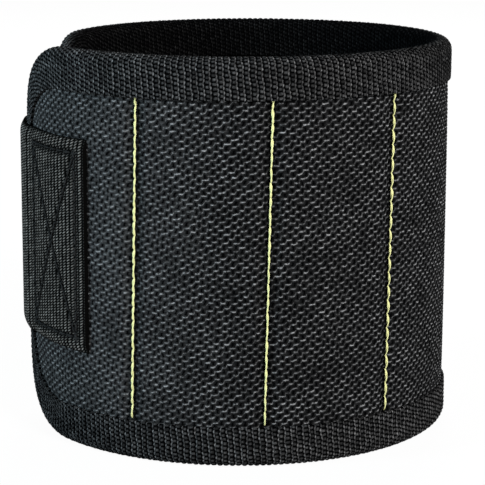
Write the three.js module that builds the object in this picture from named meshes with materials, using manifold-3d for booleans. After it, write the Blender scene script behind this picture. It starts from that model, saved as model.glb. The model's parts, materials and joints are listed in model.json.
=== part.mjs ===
// Magnetic wristband: a padded fabric band with sewn magnet pockets, wrapped into a ring and
// closed by a webbing strap with hook tape. It stands on its lower edge, as it does on a bench.
// Millimetres, +Z up. The magnet pockets face the front (-Y) and the outer end lies at the left (-X).
// A place on the band is (s, z, w): s runs along the outer surface from the outer end to the tail,
// z is the height, and w is the distance outwards from the outer surface.

import * as THREE from 'three';
import { mergeVertices } from 'three/addons/utils/BufferGeometryUtils.js';
import Module from 'manifold-3d';

// Band outline
const BAND_HEIGHT = 90;
const CORNER_RADIUS = 29;

// Ring: a main arc round the right, the back and the tail, and a wider arc round the front to the outer end
const MAIN_RADIUS = 45;
const JOIN_ANGLE = THREE.MathUtils.degToRad(64);
const OUTER_END_ANGLE = THREE.MathUtils.degToRad(-88);
const TAIL_ANGLE = THREE.MathUtils.degToRad(292);
const OVERLAP_GAP = 0.8;

// Layers of the band
const SHELL_THICKNESS = 0.8;
const FOAM_THICKNESS = 2.1;
const LINING_THICKNESS = 0.8;
const LAYER_GAP = 0.15;

// Binding tape folded over the edges
const TAPE_THICKNESS = 0.7;
const TAPE_REACH = 9.2;
const TAPE_FOLD_CHAMFER = 0.9;
const TAPE_FOLD_GAP = 0.3;

// Sewn lines between the magnet pockets
const FIRST_SEAM = 51;
const POCKET_WIDTHS = [30.4, 30.4, 37.4, 30.4, 30.4];
const FOLDING_SEAMS = 4;
const SEAM_SLIT = 0.3;
const SEAM_DIP = 0.6;
const LINING_DIP = 0.3;
const SEAM_DIP_REACH = 3;
const FOAM_SEAM_MARGIN = 1.2;
const FOAM_EDGE_MARGIN = 1.5;

// Thread of the sewn lines
const THREAD_RADIUS = 0.3;
const THREAD_PINCH_RADIUS = 0.12;
const THREAD_CLEARANCE = 0.1;
const STITCH_LENGTH = 4;
const THREAD_SIDES = 5;

// Magnets in the foam
const MAGNET_WIDTH = 12;
const MAGNET_HEIGHT = 20;
const MAGNET_THICKNESS = 1.5;
const MAGNET_CORNER = 1;
const MAGNET_PITCH = 21.5;
const MAGNET_CLEARANCE = 0.3;
const MAGNET_LEVELS = ['bottom', 'middle', 'top'];

// Closing strap
const STRAP_WIDTH = 48;
const STRAP_THICKNESS = 1.4;
const STRAP_ABOVE_MIDDLE = 1.5;
const STRAP_ROOT_MARGIN = 0.9;
const STRAP_SEWN_LENGTH = 23;
const STRAP_BEND_RADIUS = 18;
const STRAP_LANDED_LENGTH = 30;
const STRAP_TIP_RADIUS = 8;
const STRAP_END_CLEARANCE = 0.5;
const STRAP_RAMP = 3.5;

// Hook and loop closure
const HOOK_THICKNESS = 1;
const HOOK_WIDTH = 42;
const HOOK_LENGTH = 27;
const HOOK_TIP_MARGIN = 3;
const LOOP_THICKNESS = 1;
const LOOP_EDGE_MARGIN = 7.5;
const LOOP_LENGTH = 70;
const LOOP_TAIL_MARGIN = 24;
const CLOSURE_GAP = 0.3;

// Box stitch that holds the strap
const BOX_MARGIN = 3.2;
const BOX_THREAD_WIDTH = 0.8;
const BOX_THREAD_HEIGHT = 0.4;

// Facets
const FACET_LENGTH = 5;
const CORNER_STEPS = 8;
const BEND_STEPS = 6;
const DIP_FACETS = 3;
const RAMP_FACETS = 4;
const MAGNET_CORNER_STEPS = 2;
const THREAD_RINGS = 3;
const END_LEG_FACETS = 3;
const LEAST_FACET = 0.05;
const MERGE_DISTANCE = 1e-5;

const PANELS = ['end', 'pocket_1', 'pocket_2', 'pocket_3', 'back'];

// Sizes that follow from the driving ones
const thickness = SHELL_THICKNESS + FOAM_THICKNESS + LINING_THICKNESS + 2 * LAYER_GAP;
const tapeProud = LAYER_GAP + TAPE_THICKNESS;
const edgeInset = TAPE_THICKNESS + TAPE_FOLD_GAP;
const foamOuter = -SHELL_THICKNESS - LAYER_GAP;
const foamInner = -thickness + LINING_THICKNESS + LAYER_GAP;
const tailRise = thickness + 2 * tapeProud + OVERLAP_GAP;
const tailTurn = JOIN_ANGLE - (TAIL_ANGLE - 2 * Math.PI);
const radiusStep = tailRise / (1 - Math.cos(tailTurn));
const outerRadius = MAIN_RADIUS + radiusStep;
const outerCentre = new THREE.Vector2(-radiusStep * Math.sin(JOIN_ANGLE), radiusStep * Math.cos(JOIN_ANGLE));
const joinS = (JOIN_ANGLE - OUTER_END_ANGLE) * outerRadius;
const bandLength = joinS + (TAIL_ANGLE - JOIN_ANGLE) * MAIN_RADIUS;
const seams = POCKET_WIDTHS.reduce((list, width) => [...list, list.at(-1) + width], [FIRST_SEAM]);
const foldingSeams = seams.slice(0, FOLDING_SEAMS);

const wasm = await Module();
wasm.setup();

// Colours and finishes
const finishes = {
  shell: { color: 0x26282a, roughness: 0.75, metalness: 0 },
  foam: { color: 0x3b3b3d, roughness: 0.95, metalness: 0 },
  lining: { color: 0x151516, roughness: 0.95, metalness: 0 },
  tape: { color: 0x1f2022, roughness: 0.7, metalness: 0 },
  thread: { color: 0xeee89a, roughness: 0.6, metalness: 0 },
  darkThread: { color: 0x1a1a1b, roughness: 0.6, metalness: 0 },
  webbing: { color: 0x232221, roughness: 0.8, metalness: 0 },
  hook: { color: 0x18181a, roughness: 0.6, metalness: 0 },
  loop: { color: 0x1c1c1d, roughness: 0.95, metalness: 0 },
  magnet: { color: 0xb4b6b8, roughness: 0.3, metalness: 1 },
};

const wristband = new THREE.Group();

function addMesh(name, geometry, finish) {
  const mesh = new THREE.Mesh(geometry, new THREE.MeshStandardMaterial(finishes[finish]));
  mesh.name = name;
  wristband.add(mesh);
  return mesh;
}

// Angle of the outward direction at a place along the band, from the front towards the right
function angleAt(s) {
  if (s < joinS) return OUTER_END_ANGLE + s / outerRadius;
  return JOIN_ANGLE + (s - joinS) / MAIN_RADIUS;
}

function outward(angle) {
  return new THREE.Vector2(Math.sin(angle), -Math.cos(angle));
}

// Point in plan at distance w outside the band's outer surface
function planAt(s, w) {
  if (s < joinS) return outward(angleAt(s)).multiplyScalar(outerRadius + w).add(outerCentre);
  return outward(angleAt(s)).multiplyScalar(MAIN_RADIUS + w);
}

function wrapped(s, z, w) {
  const p = planAt(s, w);
  return new THREE.Vector3(p.x, p.y, z);
}

function seamDistance(s) {
  return Math.min(...seams.map((seam) => Math.abs(s - seam)));
}

// Share of the full dip at a place: 1 on a sewn line, 0 away from it
function dipAt(s) {
  const near = seamDistance(s);
  if (near >= SEAM_DIP_REACH) return 0;
  return Math.cos((Math.PI * near) / (2 * SEAM_DIP_REACH)) ** 2;
}

// Height of the rounded outline above the lower edge, for an edge set in by inset
function cornerCut(s, inset) {
  const reach = CORNER_RADIUS - Math.min(s, bandLength - s);
  if (reach <= 0) return inset;
  const radius = CORNER_RADIUS - inset;
  return CORNER_RADIUS - Math.sqrt(Math.max(radius * radius - reach * reach, 0));
}

// Places along the band where every layer has an edge between facets
function makeStations() {
  const list = [];
  const straight = bandLength - 2 * CORNER_RADIUS;
  const count = Math.ceil(straight / FACET_LENGTH);
  for (let i = 0; i <= count; i += 1) list.push(CORNER_RADIUS + (straight * i) / count);
  const radius = CORNER_RADIUS - edgeInset;
  for (let i = 0; i < CORNER_STEPS; i += 1) {
    const fromEnd = CORNER_RADIUS - radius * Math.cos((Math.PI / 2) * (i / CORNER_STEPS));
    list.push(fromEnd, bandLength - fromEnd);
  }
  const clear = list.filter((s) => seamDistance(s) > SEAM_DIP_REACH);
  for (const seam of seams) {
    for (let i = -DIP_FACETS; i <= DIP_FACETS; i += 1) clear.push(seam + (SEAM_DIP_REACH * i) / DIP_FACETS);
  }
  return clear.sort((a, b) => a - b);
}

const allStations = makeStations();

function stationsBetween(from, to) {
  const inside = allStations.filter((s) => s > from + LEAST_FACET && s < to - LEAST_FACET);
  return [from, ...inside, to];
}

// Triangles of a flat outline, turned the same way as the outline itself
function capTriangles(outline) {
  const way = Math.sign(THREE.ShapeUtils.area(outline));
  return THREE.ShapeUtils.triangulateShape(outline, []).map(([a, b, c]) => {
    const same = Math.sign(THREE.ShapeUtils.area([outline[a], outline[b], outline[c]])) === way;
    return same ? [a, b, c] : [a, c, b];
  });
}

// Closed solid through a row of sections, each the same ring of points. The outline is that ring
// in its own plane, and gives the triangles of the two caps.
function loft(sections, outline) {
  const ring = outline.length;
  const positions = sections.flat().flatMap((p) => [p.x, p.y, p.z]);
  const index = [];
  for (let i = 0; i + 1 < sections.length; i += 1) {
    for (let j = 0; j < ring; j += 1) {
      const a = i * ring + j;
      const b = i * ring + ((j + 1) % ring);
      index.push(a, b, b + ring, a, b + ring, a + ring);
    }
  }
  const last = (sections.length - 1) * ring;
  for (const [a, b, c] of capTriangles(outline)) {
    index.push(a, c, b, last + a, last + b, last + c);
  }
  const geometry = new THREE.BufferGeometry();
  geometry.setAttribute('position', new THREE.Float32BufferAttribute(positions, 3));
  geometry.setIndex(index);
  return facedOut(geometry);
}

// The same closed surface with its faces pointing out
function facedOut(geometry) {
  const at = geometry.getAttribute('position');
  const index = Array.from(geometry.getIndex().array);
  const [a, b, c] = [new THREE.Vector3(), new THREE.Vector3(), new THREE.Vector3()];
  let volume = 0;
  for (let i = 0; i < index.length; i += 3) {
    a.fromBufferAttribute(at, index[i]);
    b.fromBufferAttribute(at, index[i + 1]);
    c.fromBufferAttribute(at, index[i + 2]);
    volume += a.dot(b.cross(c));
  }
  geometry.setIndex(volume < 0 ? index.reverse() : index);
  return geometry;
}

const square = [[0, 0], [0, 1], [1, 1], [1, 0]].map(([x, y]) => new THREE.Vector2(x, y));

// Curved sheet between two places, with its faces and its edges given at each place
function sheet(from, to, outer, inner, low, high) {
  const sections = stationsBetween(from, to).map((s) => [
    wrapped(s, low(s), outer(s)),
    wrapped(s, high(s), outer(s)),
    wrapped(s, high(s), inner(s)),
    wrapped(s, low(s), inner(s)),
  ]);
  return loft(sections, square);
}

// One layer of the band, set in from the outline
function layer(from, to, outer, inner, inset) {
  const low = (s) => cornerCut(s, inset);
  const high = (s) => BAND_HEIGHT - cornerCut(s, inset);
  return sheet(from, to, outer, inner, low, high);
}

// Panels between the folding seams
function panelSpan(i) {
  const from = i === 0 ? 0 : foldingSeams[i - 1];
  const to = i === foldingSeams.length ? bandLength : foldingSeams[i];
  return { from, to, first: i === 0, last: i === foldingSeams.length };
}

function shrunk(span, atEnd, atSeam) {
  const from = span.from + (span.first ? atEnd : atSeam);
  const to = span.to - (span.last ? atEnd : atSeam);
  return [from, to];
}

const shellOuter = (s) => -SEAM_DIP * dipAt(s);
const shellInner = (s) => shellOuter(s) - SHELL_THICKNESS;
const liningInner = (s) => -thickness + LINING_DIP * dipAt(s);
const liningOuter = (s) => liningInner(s) + LINING_THICKNESS;

// Manifold solid of a geometry, with its place applied
function solid(geometry, matrix) {
  const bare = geometry.clone();
  bare.deleteAttribute('normal');
  bare.deleteAttribute('uv');
  if (matrix) bare.applyMatrix4(matrix);
  const merged = mergeVertices(bare, MERGE_DISTANCE);
  const vertProperties = new Float32Array(merged.getAttribute('position').array);
  const triVerts = new Uint32Array(merged.getIndex().array);
  return new wasm.Manifold(new wasm.Mesh({ numProp: 3, vertProperties, triVerts }));
}

function geometryOf(manifold) {
  const mesh = manifold.getMesh();
  const geometry = new THREE.BufferGeometry();
  geometry.setAttribute('position', new THREE.BufferAttribute(new Float32Array(mesh.vertProperties), 3));
  geometry.setIndex(new THREE.BufferAttribute(new Uint32Array(mesh.triVerts), 1));
  return geometry;
}

// Magnets: three in each pocket, flat blocks in windows of the foam
function magnetPlaces(from, to) {
  const places = [];
  for (let pocket = 0; pocket < POCKET_WIDTHS.length; pocket += 1) {
    const s = (seams[pocket] + seams[pocket + 1]) / 2;
    if (s < from || s > to) continue;
    MAGNET_LEVELS.forEach((level, i) => {
      const z = BAND_HEIGHT / 2 + (i - (MAGNET_LEVELS.length - 1) / 2) * MAGNET_PITCH;
      places.push({ name: `magnet_${pocket + 1}_${level}`, s, z });
    });
  }
  return places;
}

// A flat block on a curved layer stands out at its sides, so it is set in by half of that
function magnetMatrix({ s, z }) {
  const middle = (foamOuter + foamInner) / 2;
  const radius = (s < joinS ? outerRadius : MAIN_RADIUS) + middle;
  const bulge = Math.hypot(radius, MAGNET_WIDTH / 2) - radius;
  const at = wrapped(s, z, middle - bulge / 2);
  const turn = new THREE.Matrix4().makeRotationZ(angleAt(s));
  return turn.setPosition(at);
}

function magnetGeometry() {
  const x = MAGNET_WIDTH / 2;
  const y = MAGNET_HEIGHT / 2;
  const r = MAGNET_CORNER;
  const face = new THREE.Shape();
  face.absarc(x - r, y - r, r, 0, Math.PI / 2);
  face.absarc(-x + r, y - r, r, Math.PI / 2, Math.PI);
  face.absarc(-x + r, -y + r, r, Math.PI, 1.5 * Math.PI);
  face.absarc(x - r, -y + r, r, 1.5 * Math.PI, 2 * Math.PI);
  const options = { depth: MAGNET_THICKNESS, bevelEnabled: false, curveSegments: MAGNET_CORNER_STEPS };
  const block = new THREE.ExtrudeGeometry(face, options);
  block.translate(0, 0, -MAGNET_THICKNESS / 2);
  block.rotateX(Math.PI / 2);
  return block;
}

function foamPad(span) {
  const [from, to] = shrunk(span, edgeInset + FOAM_EDGE_MARGIN, FOAM_SEAM_MARGIN);
  const outer = (s) => shellInner(s) - LAYER_GAP;
  const inner = (s) => liningOuter(s) + LAYER_GAP;
  let pad = solid(layer(from, to, outer, inner, edgeInset + FOAM_EDGE_MARGIN));
  const width = MAGNET_WIDTH + 2 * MAGNET_CLEARANCE;
  const height = MAGNET_HEIGHT + 2 * MAGNET_CLEARANCE;
  const throughFoam = 2 * (thickness + SEAM_DIP);
  const window = new THREE.BoxGeometry(width, throughFoam, height);
  for (const place of magnetPlaces(from, to)) {
    pad = pad.subtract(solid(window, magnetMatrix(place)));
  }
  return geometryOf(pad);
}

PANELS.forEach((name, i) => {
  const span = panelSpan(i);
  const [from, to] = shrunk(span, edgeInset, SEAM_SLIT / 2);
  addMesh(`outer_shell_${name}`, layer(from, to, shellOuter, shellInner, edgeInset), 'shell');
  addMesh(`foam_pad_${name}`, foamPad(span), 'foam');
  addMesh(`lining_${name}`, layer(from, to, liningOuter, liningInner, edgeInset), 'lining');
  for (const place of magnetPlaces(span.from, span.to)) {
    const magnet = addMesh(place.name, magnetGeometry(), 'magnet');
    magnetMatrix(place).decompose(magnet.position, magnet.quaternion, magnet.scale);
  }
});

// Binding tape: a U over the edge. Points are (d, w), with d the distance in from the outline.
// Round the ends of the band its legs run along the curve, so there they have more facets.
const tapeOuter = tapeProud;
const tapeInner = -thickness - tapeProud;

function tapeSection(legFacets) {
  const leg = (w, from, to) => {
    const share = (i) => i / legFacets;
    return Array.from({ length: legFacets + 1 }, (_, i) => [THREE.MathUtils.lerp(from, to, share(i)), w]);
  };
  const ring = [
    ...leg(tapeOuter, TAPE_REACH, TAPE_FOLD_CHAMFER),
    [0, tapeOuter - TAPE_FOLD_CHAMFER],
    [0, tapeInner + TAPE_FOLD_CHAMFER],
    ...leg(tapeInner, TAPE_FOLD_CHAMFER, TAPE_REACH),
    ...leg(tapeInner + TAPE_THICKNESS, TAPE_REACH, TAPE_THICKNESS),
    ...leg(tapeOuter - TAPE_THICKNESS, TAPE_THICKNESS, TAPE_REACH),
  ];
  return ring.map(([d, w]) => new THREE.Vector2(d, w));
}

// Sweep of the tape along points of the outline, each with its direction in from the edge
function tape(path, legFacets) {
  const outline = tapeSection(legFacets);
  const sections = path.map(({ s, z, inS, inZ }) =>
    outline.map((p) => wrapped(s + inS * p.x, z + inZ * p.x, p.y)));
  return loft(sections, outline);
}

function straightEdge(from, to, top) {
  const z = top ? BAND_HEIGHT : 0;
  return stationsBetween(from, to).map((s) => ({ s, z, inS: 0, inZ: top ? -1 : 1 }));
}

// Outline round one end of the band, from its top seam to its bottom seam
function endEdge(seam, atTail) {
  const centreS = atTail ? bandLength - CORNER_RADIUS : CORNER_RADIUS;
  const towards = atTail ? 1 : -1;
  const path = [];
  const top = atTail ? straightEdge(seam, centreS, true) : straightEdge(centreS, seam, true).reverse();
  path.push(...top);
  for (const upper of [true, false]) {
    for (let i = 1; i <= CORNER_STEPS; i += 1) {
      const share = upper ? 1 - i / CORNER_STEPS : (i - 1) / CORNER_STEPS;
      const lift = Math.sin((Math.PI / 2) * share);
      const along = Math.cos((Math.PI / 2) * share);
      const centreZ = upper ? BAND_HEIGHT - CORNER_RADIUS : CORNER_RADIUS;
      const z = centreZ + (upper ? 1 : -1) * CORNER_RADIUS * lift;
      const s = centreS + towards * CORNER_RADIUS * along;
      path.push({ s, z, inS: -towards * along, inZ: upper ? -lift : lift });
    }
  }
  const bottom = atTail ? straightEdge(seam, centreS, false).reverse() : straightEdge(centreS, seam, false);
  path.push(...bottom);
  return path;
}

PANELS.forEach((name, i) => {
  const span = panelSpan(i);
  const [from, to] = shrunk(span, 0, SEAM_SLIT / 2);
  if (span.first) {
    addMesh(`edge_binding_${name}`, tape(endEdge(to, false), END_LEG_FACETS), 'tape');
  } else if (span.last) {
    addMesh(`edge_binding_${name}`, tape(endEdge(from, true), END_LEG_FACETS), 'tape');
  } else {
    addMesh(`edge_binding_top_${name}`, tape(straightEdge(from, to, true), 1), 'tape');
    addMesh(`edge_binding_bottom_${name}`, tape(straightEdge(from, to, false), 1), 'tape');
  }
});

// Rows of stitches: one thread in each sewn valley, pinched where it goes into the cloth
function stitchRow(seam) {
  const low = TAPE_REACH + THREAD_CLEARANCE;
  const high = BAND_HEIGHT - low;
  const stitches = Math.round((high - low) / STITCH_LENGTH);
  const rings = stitches * THREAD_RINGS;
  const bed = -SEAM_DIP + THREAD_CLEARANCE;
  const outline = [];
  for (let j = 0; j < THREAD_SIDES; j += 1) {
    const turn = (2 * Math.PI * j) / THREAD_SIDES;
    outline.push(new THREE.Vector2(Math.sin(turn), Math.cos(turn)));
  }
  const sections = [];
  for (let i = 0; i <= rings; i += 1) {
    const pinched = i % THREAD_RINGS === 0;
    const radius = pinched ? THREAD_PINCH_RADIUS : THREAD_RADIUS;
    const z = low + ((high - low) * i) / rings;
    sections.push(outline.map((p) => wrapped(seam + radius * p.x, z, bed + radius * (1 + p.y))));
  }
  return loft(sections, outline);
}

seams.forEach((seam, i) => addMesh(`stitch_row_${i + 1}`, stitchRow(seam), 'thread'));

// Strap: its inner face in plan, from the peel line at its root to its tip. It climbs onto the end binding,
// which reaches furthest along the band at the strap's upper corner, and its root lies just past that.
const strapLevel = BAND_HEIGHT / 2 + STRAP_ABOVE_MIDDLE;
const strapLow = strapLevel - STRAP_WIDTH / 2;
const strapHigh = strapLevel + STRAP_WIDTH / 2;
const pastStraight = Math.max(0, strapHigh - (BAND_HEIGHT - CORNER_RADIUS));
const tapeUnderStrap = CORNER_RADIUS - Math.sqrt((CORNER_RADIUS - TAPE_REACH) ** 2 - pastStraight ** 2);
const rampTop = tapeUnderStrap + LAYER_GAP;
const rampFoot = tapeUnderStrap + STRAP_RAMP;
const strapRoot = rampFoot + STRAP_ROOT_MARGIN;
const strapOverTape = tapeProud + LAYER_GAP;
const landedRadius = MAIN_RADIUS + LAYER_GAP + LOOP_THICKNESS + CLOSURE_GAP + HOOK_THICKNESS + LAYER_GAP;

// Height of the strap's inner face above the shell, as it climbs onto the end binding
function strapSeat(s) {
  const climb = THREE.MathUtils.smoothstep(rampFoot - s, 0, rampFoot - rampTop);
  return THREE.MathUtils.lerp(LAYER_GAP, strapOverTape, climb);
}

// The strap bends in past the outer end, runs straight, and lands on the loop panel of the tail
function strapLine() {
  const line = [];
  const add = (p, angle) => {
    const before = line.at(-1);
    const along = before ? before.along + before.p.distanceTo(p) : 0;
    line.push({ p, angle, along });
  };
  const leave = -STRAP_END_CLEARANCE;
  const facets = (from, to) => Array.from({ length: RAMP_FACETS }, (_, i) =>
    THREE.MathUtils.lerp(from, to, i / RAMP_FACETS));
  const onBand = [strapRoot - SEAM_SLIT / 2, ...facets(rampFoot, rampTop), ...facets(rampTop, leave), leave];
  for (const s of onBand) add(planAt(s, strapSeat(s)), angleAt(s));
  const start = angleAt(leave);
  const bendCentre = planAt(leave, strapOverTape).addScaledVector(outward(start), -STRAP_BEND_RADIUS);
  const reach = bendCentre.length();
  const drop = landedRadius - STRAP_BEND_RADIUS;
  const centreAngle = Math.atan2(bendCentre.x, -bendCentre.y);
  const landAngle = centreAngle - Math.acos(drop / reach);
  for (let i = 1; i <= BEND_STEPS; i += 1) {
    const angle = THREE.MathUtils.lerp(start, landAngle, i / BEND_STEPS);
    add(outward(angle).multiplyScalar(STRAP_BEND_RADIUS).add(bendCentre), angle);
  }
  add(outward(landAngle).multiplyScalar(landedRadius), landAngle);
  const steps = Math.ceil(STRAP_LANDED_LENGTH / FACET_LENGTH);
  for (let i = 1; i <= steps; i += 1) {
    const angle = landAngle - (STRAP_LANDED_LENGTH / landedRadius) * (i / steps);
    add(outward(angle).multiplyScalar(landedRadius), angle);
  }
  return line;
}

const strapPath = strapLine();
const strapTip = strapPath.at(-1).along;

// Places of the strap between two lengths along it, with the ends worked out between points
function strapBetween(from, to) {
  const at = (along) => {
    const i = Math.max(1, strapPath.findIndex((q) => q.along >= along - LEAST_FACET));
    const [a, b] = [strapPath[i - 1], strapPath[i]];
    const share = (along - a.along) / (b.along - a.along);
    const angle = THREE.MathUtils.lerp(a.angle, b.angle, share);
    return { p: a.p.clone().lerp(b.p, share), angle, along };
  };
  const inside = strapPath.filter((q) => q.along > from + LEAST_FACET && q.along < to - LEAST_FACET);
  return [at(from), ...inside, at(to)];
}

function strapStrip(places, inner, outer, low, high) {
  const point = ({ p, angle }, w, z) => {
    const q = p.clone().addScaledVector(outward(angle), w);
    return new THREE.Vector3(q.x, q.y, z);
  };
  const sections = places.map((place) => [
    point(place, outer, low(place.along)),
    point(place, outer, high(place.along)),
    point(place, inner, high(place.along)),
    point(place, inner, low(place.along)),
  ]);
  return loft(sections, square);
}

// How far the rounded tip of the strap cuts in from its long edges
function tipCut(along) {
  const reach = STRAP_TIP_RADIUS - (strapTip - along);
  if (reach <= 0) return 0;
  return STRAP_TIP_RADIUS - Math.sqrt(Math.max(STRAP_TIP_RADIUS ** 2 - reach ** 2, 0));
}

function tipPlaces() {
  const start = strapTip - STRAP_TIP_RADIUS;
  const places = strapBetween(0, start);
  for (let i = 1; i <= CORNER_STEPS; i += 1) {
    const along = start + STRAP_TIP_RADIUS * Math.sin((Math.PI / 2) * (i / CORNER_STEPS));
    places.push(strapBetween(start - FACET_LENGTH, along).at(-1));
  }
  return places;
}

const freeLow = (along) => strapLow + tipCut(along);
const freeHigh = (along) => strapHigh - tipCut(along);
addMesh('strap_free', strapStrip(tipPlaces(), 0, STRAP_THICKNESS, freeLow, freeHigh), 'webbing');

const hookEnd = strapTip - HOOK_TIP_MARGIN;
const hookLow = () => strapLevel - HOOK_WIDTH / 2;
const hookHigh = () => strapLevel + HOOK_WIDTH / 2;
const hookPlaces = strapBetween(hookEnd - HOOK_LENGTH, hookEnd);
const hookTape = strapStrip(hookPlaces, -LAYER_GAP - HOOK_THICKNESS, -LAYER_GAP, hookLow, hookHigh);
addMesh('hook_tape', hookTape, 'hook');

// Sewn end of the strap on the shell
const sewnFrom = strapRoot + SEAM_SLIT / 2;
const sewnTo = strapRoot + STRAP_SEWN_LENGTH;
const sewnOuter = () => LAYER_GAP + STRAP_THICKNESS;
const sewnInner = () => LAYER_GAP;
const sewnEnd = sheet(sewnFrom, sewnTo, sewnOuter, sewnInner, () => strapLow, () => strapHigh);
addMesh('strap_sewn_end', sewnEnd, 'webbing');

// Box stitch with a cross in it, as bars of thread joined into one
function threadBar(fromS, fromZ, toS, toZ) {
  const steps = Math.max(1, Math.ceil(Math.abs(toS - fromS) / FACET_LENGTH));
  const length = Math.hypot(toS - fromS, toZ - fromZ);
  const along = new THREE.Vector2((toS - fromS) / length, (toZ - fromZ) / length);
  const half = BOX_THREAD_WIDTH / 2;
  const low = sewnOuter() + THREAD_CLEARANCE;
  const sections = [];
  for (let i = 0; i <= steps; i += 1) {
    const end = i === 0 ? -half : i === steps ? half : 0;
    const s = THREE.MathUtils.lerp(fromS, toS, i / steps) + along.x * end;
    const z = THREE.MathUtils.lerp(fromZ, toZ, i / steps) + along.y * end;
    const place = (side, w) => wrapped(s - along.y * side * half, z + along.x * side * half, w);
    const high = low + BOX_THREAD_HEIGHT;
    sections.push([place(-1, low), place(-1, high), place(1, high), place(1, low)]);
  }
  return solid(loft(sections, square));
}

const box = {
  left: strapRoot + BOX_THREAD_WIDTH,
  right: sewnTo - BOX_MARGIN,
  low: strapLow + BOX_MARGIN,
  high: strapHigh - BOX_MARGIN,
};
const boxStitch = [
  threadBar(box.left, box.low, box.left, box.high),
  threadBar(box.right, box.low, box.right, box.high),
  threadBar(box.left, box.low, box.right, box.low),
  threadBar(box.left, box.high, box.right, box.high),
  threadBar(box.left, box.low, box.right, box.high),
  threadBar(box.left, box.high, box.right, box.low),
].reduce((joined, bar) => joined.add(bar));
addMesh('box_stitch', geometryOf(boxStitch), 'darkThread');

// Loop panel on the outside of the tail, where the hook tape lands
const loopTo = bandLength - LOOP_TAIL_MARGIN;
const loopLow = () => TAPE_REACH + LOOP_EDGE_MARGIN;
const loopHigh = () => BAND_HEIGHT - TAPE_REACH - LOOP_EDGE_MARGIN;
const loopOuter = () => LAYER_GAP + LOOP_THICKNESS;
const loopInner = () => LAYER_GAP;
addMesh('loop_panel', sheet(loopTo - LOOP_LENGTH, loopTo, loopOuter, loopInner, loopLow, loopHigh), 'loop');

// The origin is the middle of the footprint, on the surface that the band stands on
const extent = new THREE.Box3().setFromObject(wristband);
const middle = extent.getCenter(new THREE.Vector3());
wristband.position.set(-middle.x, -middle.y, -extent.min.z);

export default wristband;
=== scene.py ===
import json
import math

import bmesh
import bpy
import numpy as np
from mathutils import Matrix, Vector


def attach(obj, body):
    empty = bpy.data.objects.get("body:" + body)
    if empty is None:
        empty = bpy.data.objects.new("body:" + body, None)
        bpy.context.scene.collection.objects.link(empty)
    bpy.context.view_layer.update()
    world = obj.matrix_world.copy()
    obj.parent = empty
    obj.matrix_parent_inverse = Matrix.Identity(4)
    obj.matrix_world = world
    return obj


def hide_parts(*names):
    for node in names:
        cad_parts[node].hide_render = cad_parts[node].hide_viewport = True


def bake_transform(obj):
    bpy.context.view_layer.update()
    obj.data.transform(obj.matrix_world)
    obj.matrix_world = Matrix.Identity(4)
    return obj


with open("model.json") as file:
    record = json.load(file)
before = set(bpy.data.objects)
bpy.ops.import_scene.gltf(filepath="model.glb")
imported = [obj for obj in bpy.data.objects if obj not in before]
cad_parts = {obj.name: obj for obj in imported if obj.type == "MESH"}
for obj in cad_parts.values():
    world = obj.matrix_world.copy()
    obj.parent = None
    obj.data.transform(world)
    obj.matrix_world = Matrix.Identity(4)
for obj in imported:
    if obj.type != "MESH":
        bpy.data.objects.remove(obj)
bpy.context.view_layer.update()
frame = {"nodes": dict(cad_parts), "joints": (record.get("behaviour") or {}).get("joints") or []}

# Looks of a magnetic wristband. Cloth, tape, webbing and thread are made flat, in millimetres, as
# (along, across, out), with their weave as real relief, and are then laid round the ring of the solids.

MM = 0.001

# Band and ring, as the solids have them
BAND_HEIGHT = 90.0
CORNER_RADIUS = 29.0
MAIN_RADIUS = 45.0
JOIN_ANGLE = math.radians(64)
OUTER_END_ANGLE = math.radians(-88)
TAIL_ANGLE = math.radians(292)
OVERLAP_GAP = 0.8
SHELL_THICKNESS = 0.8
FOAM_THICKNESS = 2.1
LINING_THICKNESS = 0.8
LAYER_GAP = 0.15
TAPE_THICKNESS = 0.7
TAPE_REACH = 9.2
TAPE_FOLD_GAP = 0.3
TAPE_FOLD_RADIUS = 2.7

# Sewn lines
FIRST_SEAM = 51.0
POCKET_WIDTHS = [30.4, 30.4, 37.4, 30.4, 30.4]
FOLDING_SEAMS = 4
SEAM_DIP = 0.6
LINING_DIP = 0.3
SEAM_DIP_REACH = 3.0
SEAM_SHADE_REACH = 1.1
SEAM_LEAN = 0.021
SEAM_PIVOT = 30.0
STITCH_PITCH = 3.15
STITCH_TAPE_GAP = 0.3
THREAD_BED = 0.3
PUCKER_DEPTH = 0.22
PUCKER_REACH = 1.6
POCKET_SWELL = 0.5

# Strap and its box stitch
STRAP_WIDTH = 48.0
STRAP_THICKNESS = 1.4
STRAP_ABOVE_MIDDLE = 1.5
STRAP_ROOT_MARGIN = 0.9
STRAP_SEWN_LENGTH = 23.0
STRAP_BEND_RADIUS = 18.0
STRAP_LANDED_LENGTH = 30.0
STRAP_TIP_RADIUS = 8.0
STRAP_END_CLEARANCE = 0.5
STRAP_RAMP = 3.5
STRAP_EDGE_DROP = 0.8
STRAP_EDGE_REACH = 2.6
# Reach of the painted shadow along the strap's edges and ends
STRAP_EDGE_PAINTED_SHADE = 0.6
STRAP_BACK_EVERY = 4
STRAP_PEEL_SPAN = (1.5, -3.0)
STRAP_PEEL_OUT = 1.0
BOX_MARGIN = 3.2
BOX_ROOT_MARGIN = 0.8
BOX_GROOVE_DEPTH = 0.45
BOX_GROOVE_REACH = 0.75
BOX_THREAD_BED = 0.15

# Hook and loop closure
HOOK_THICKNESS = 1.0
HOOK_WIDTH = 42.0
HOOK_LENGTH = 27.0
HOOK_TIP_MARGIN = 3.0
HOOK_BASE = 0.4
HOOK_GRID = (55, 61)
HOOK_EVERY = (3, 2)
LOOP_THICKNESS = 1.0
LOOP_EDGE_MARGIN = 7.5
LOOP_LENGTH = 70.0
LOOP_TAIL_MARGIN = 24.0
LOOP_BASE = 0.45
LOOP_GRID = (127, 95)
LOOP_EVERY = (2, 2)
CLOSURE_GAP = 0.3
STRAND_MARGIN = 2

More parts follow.
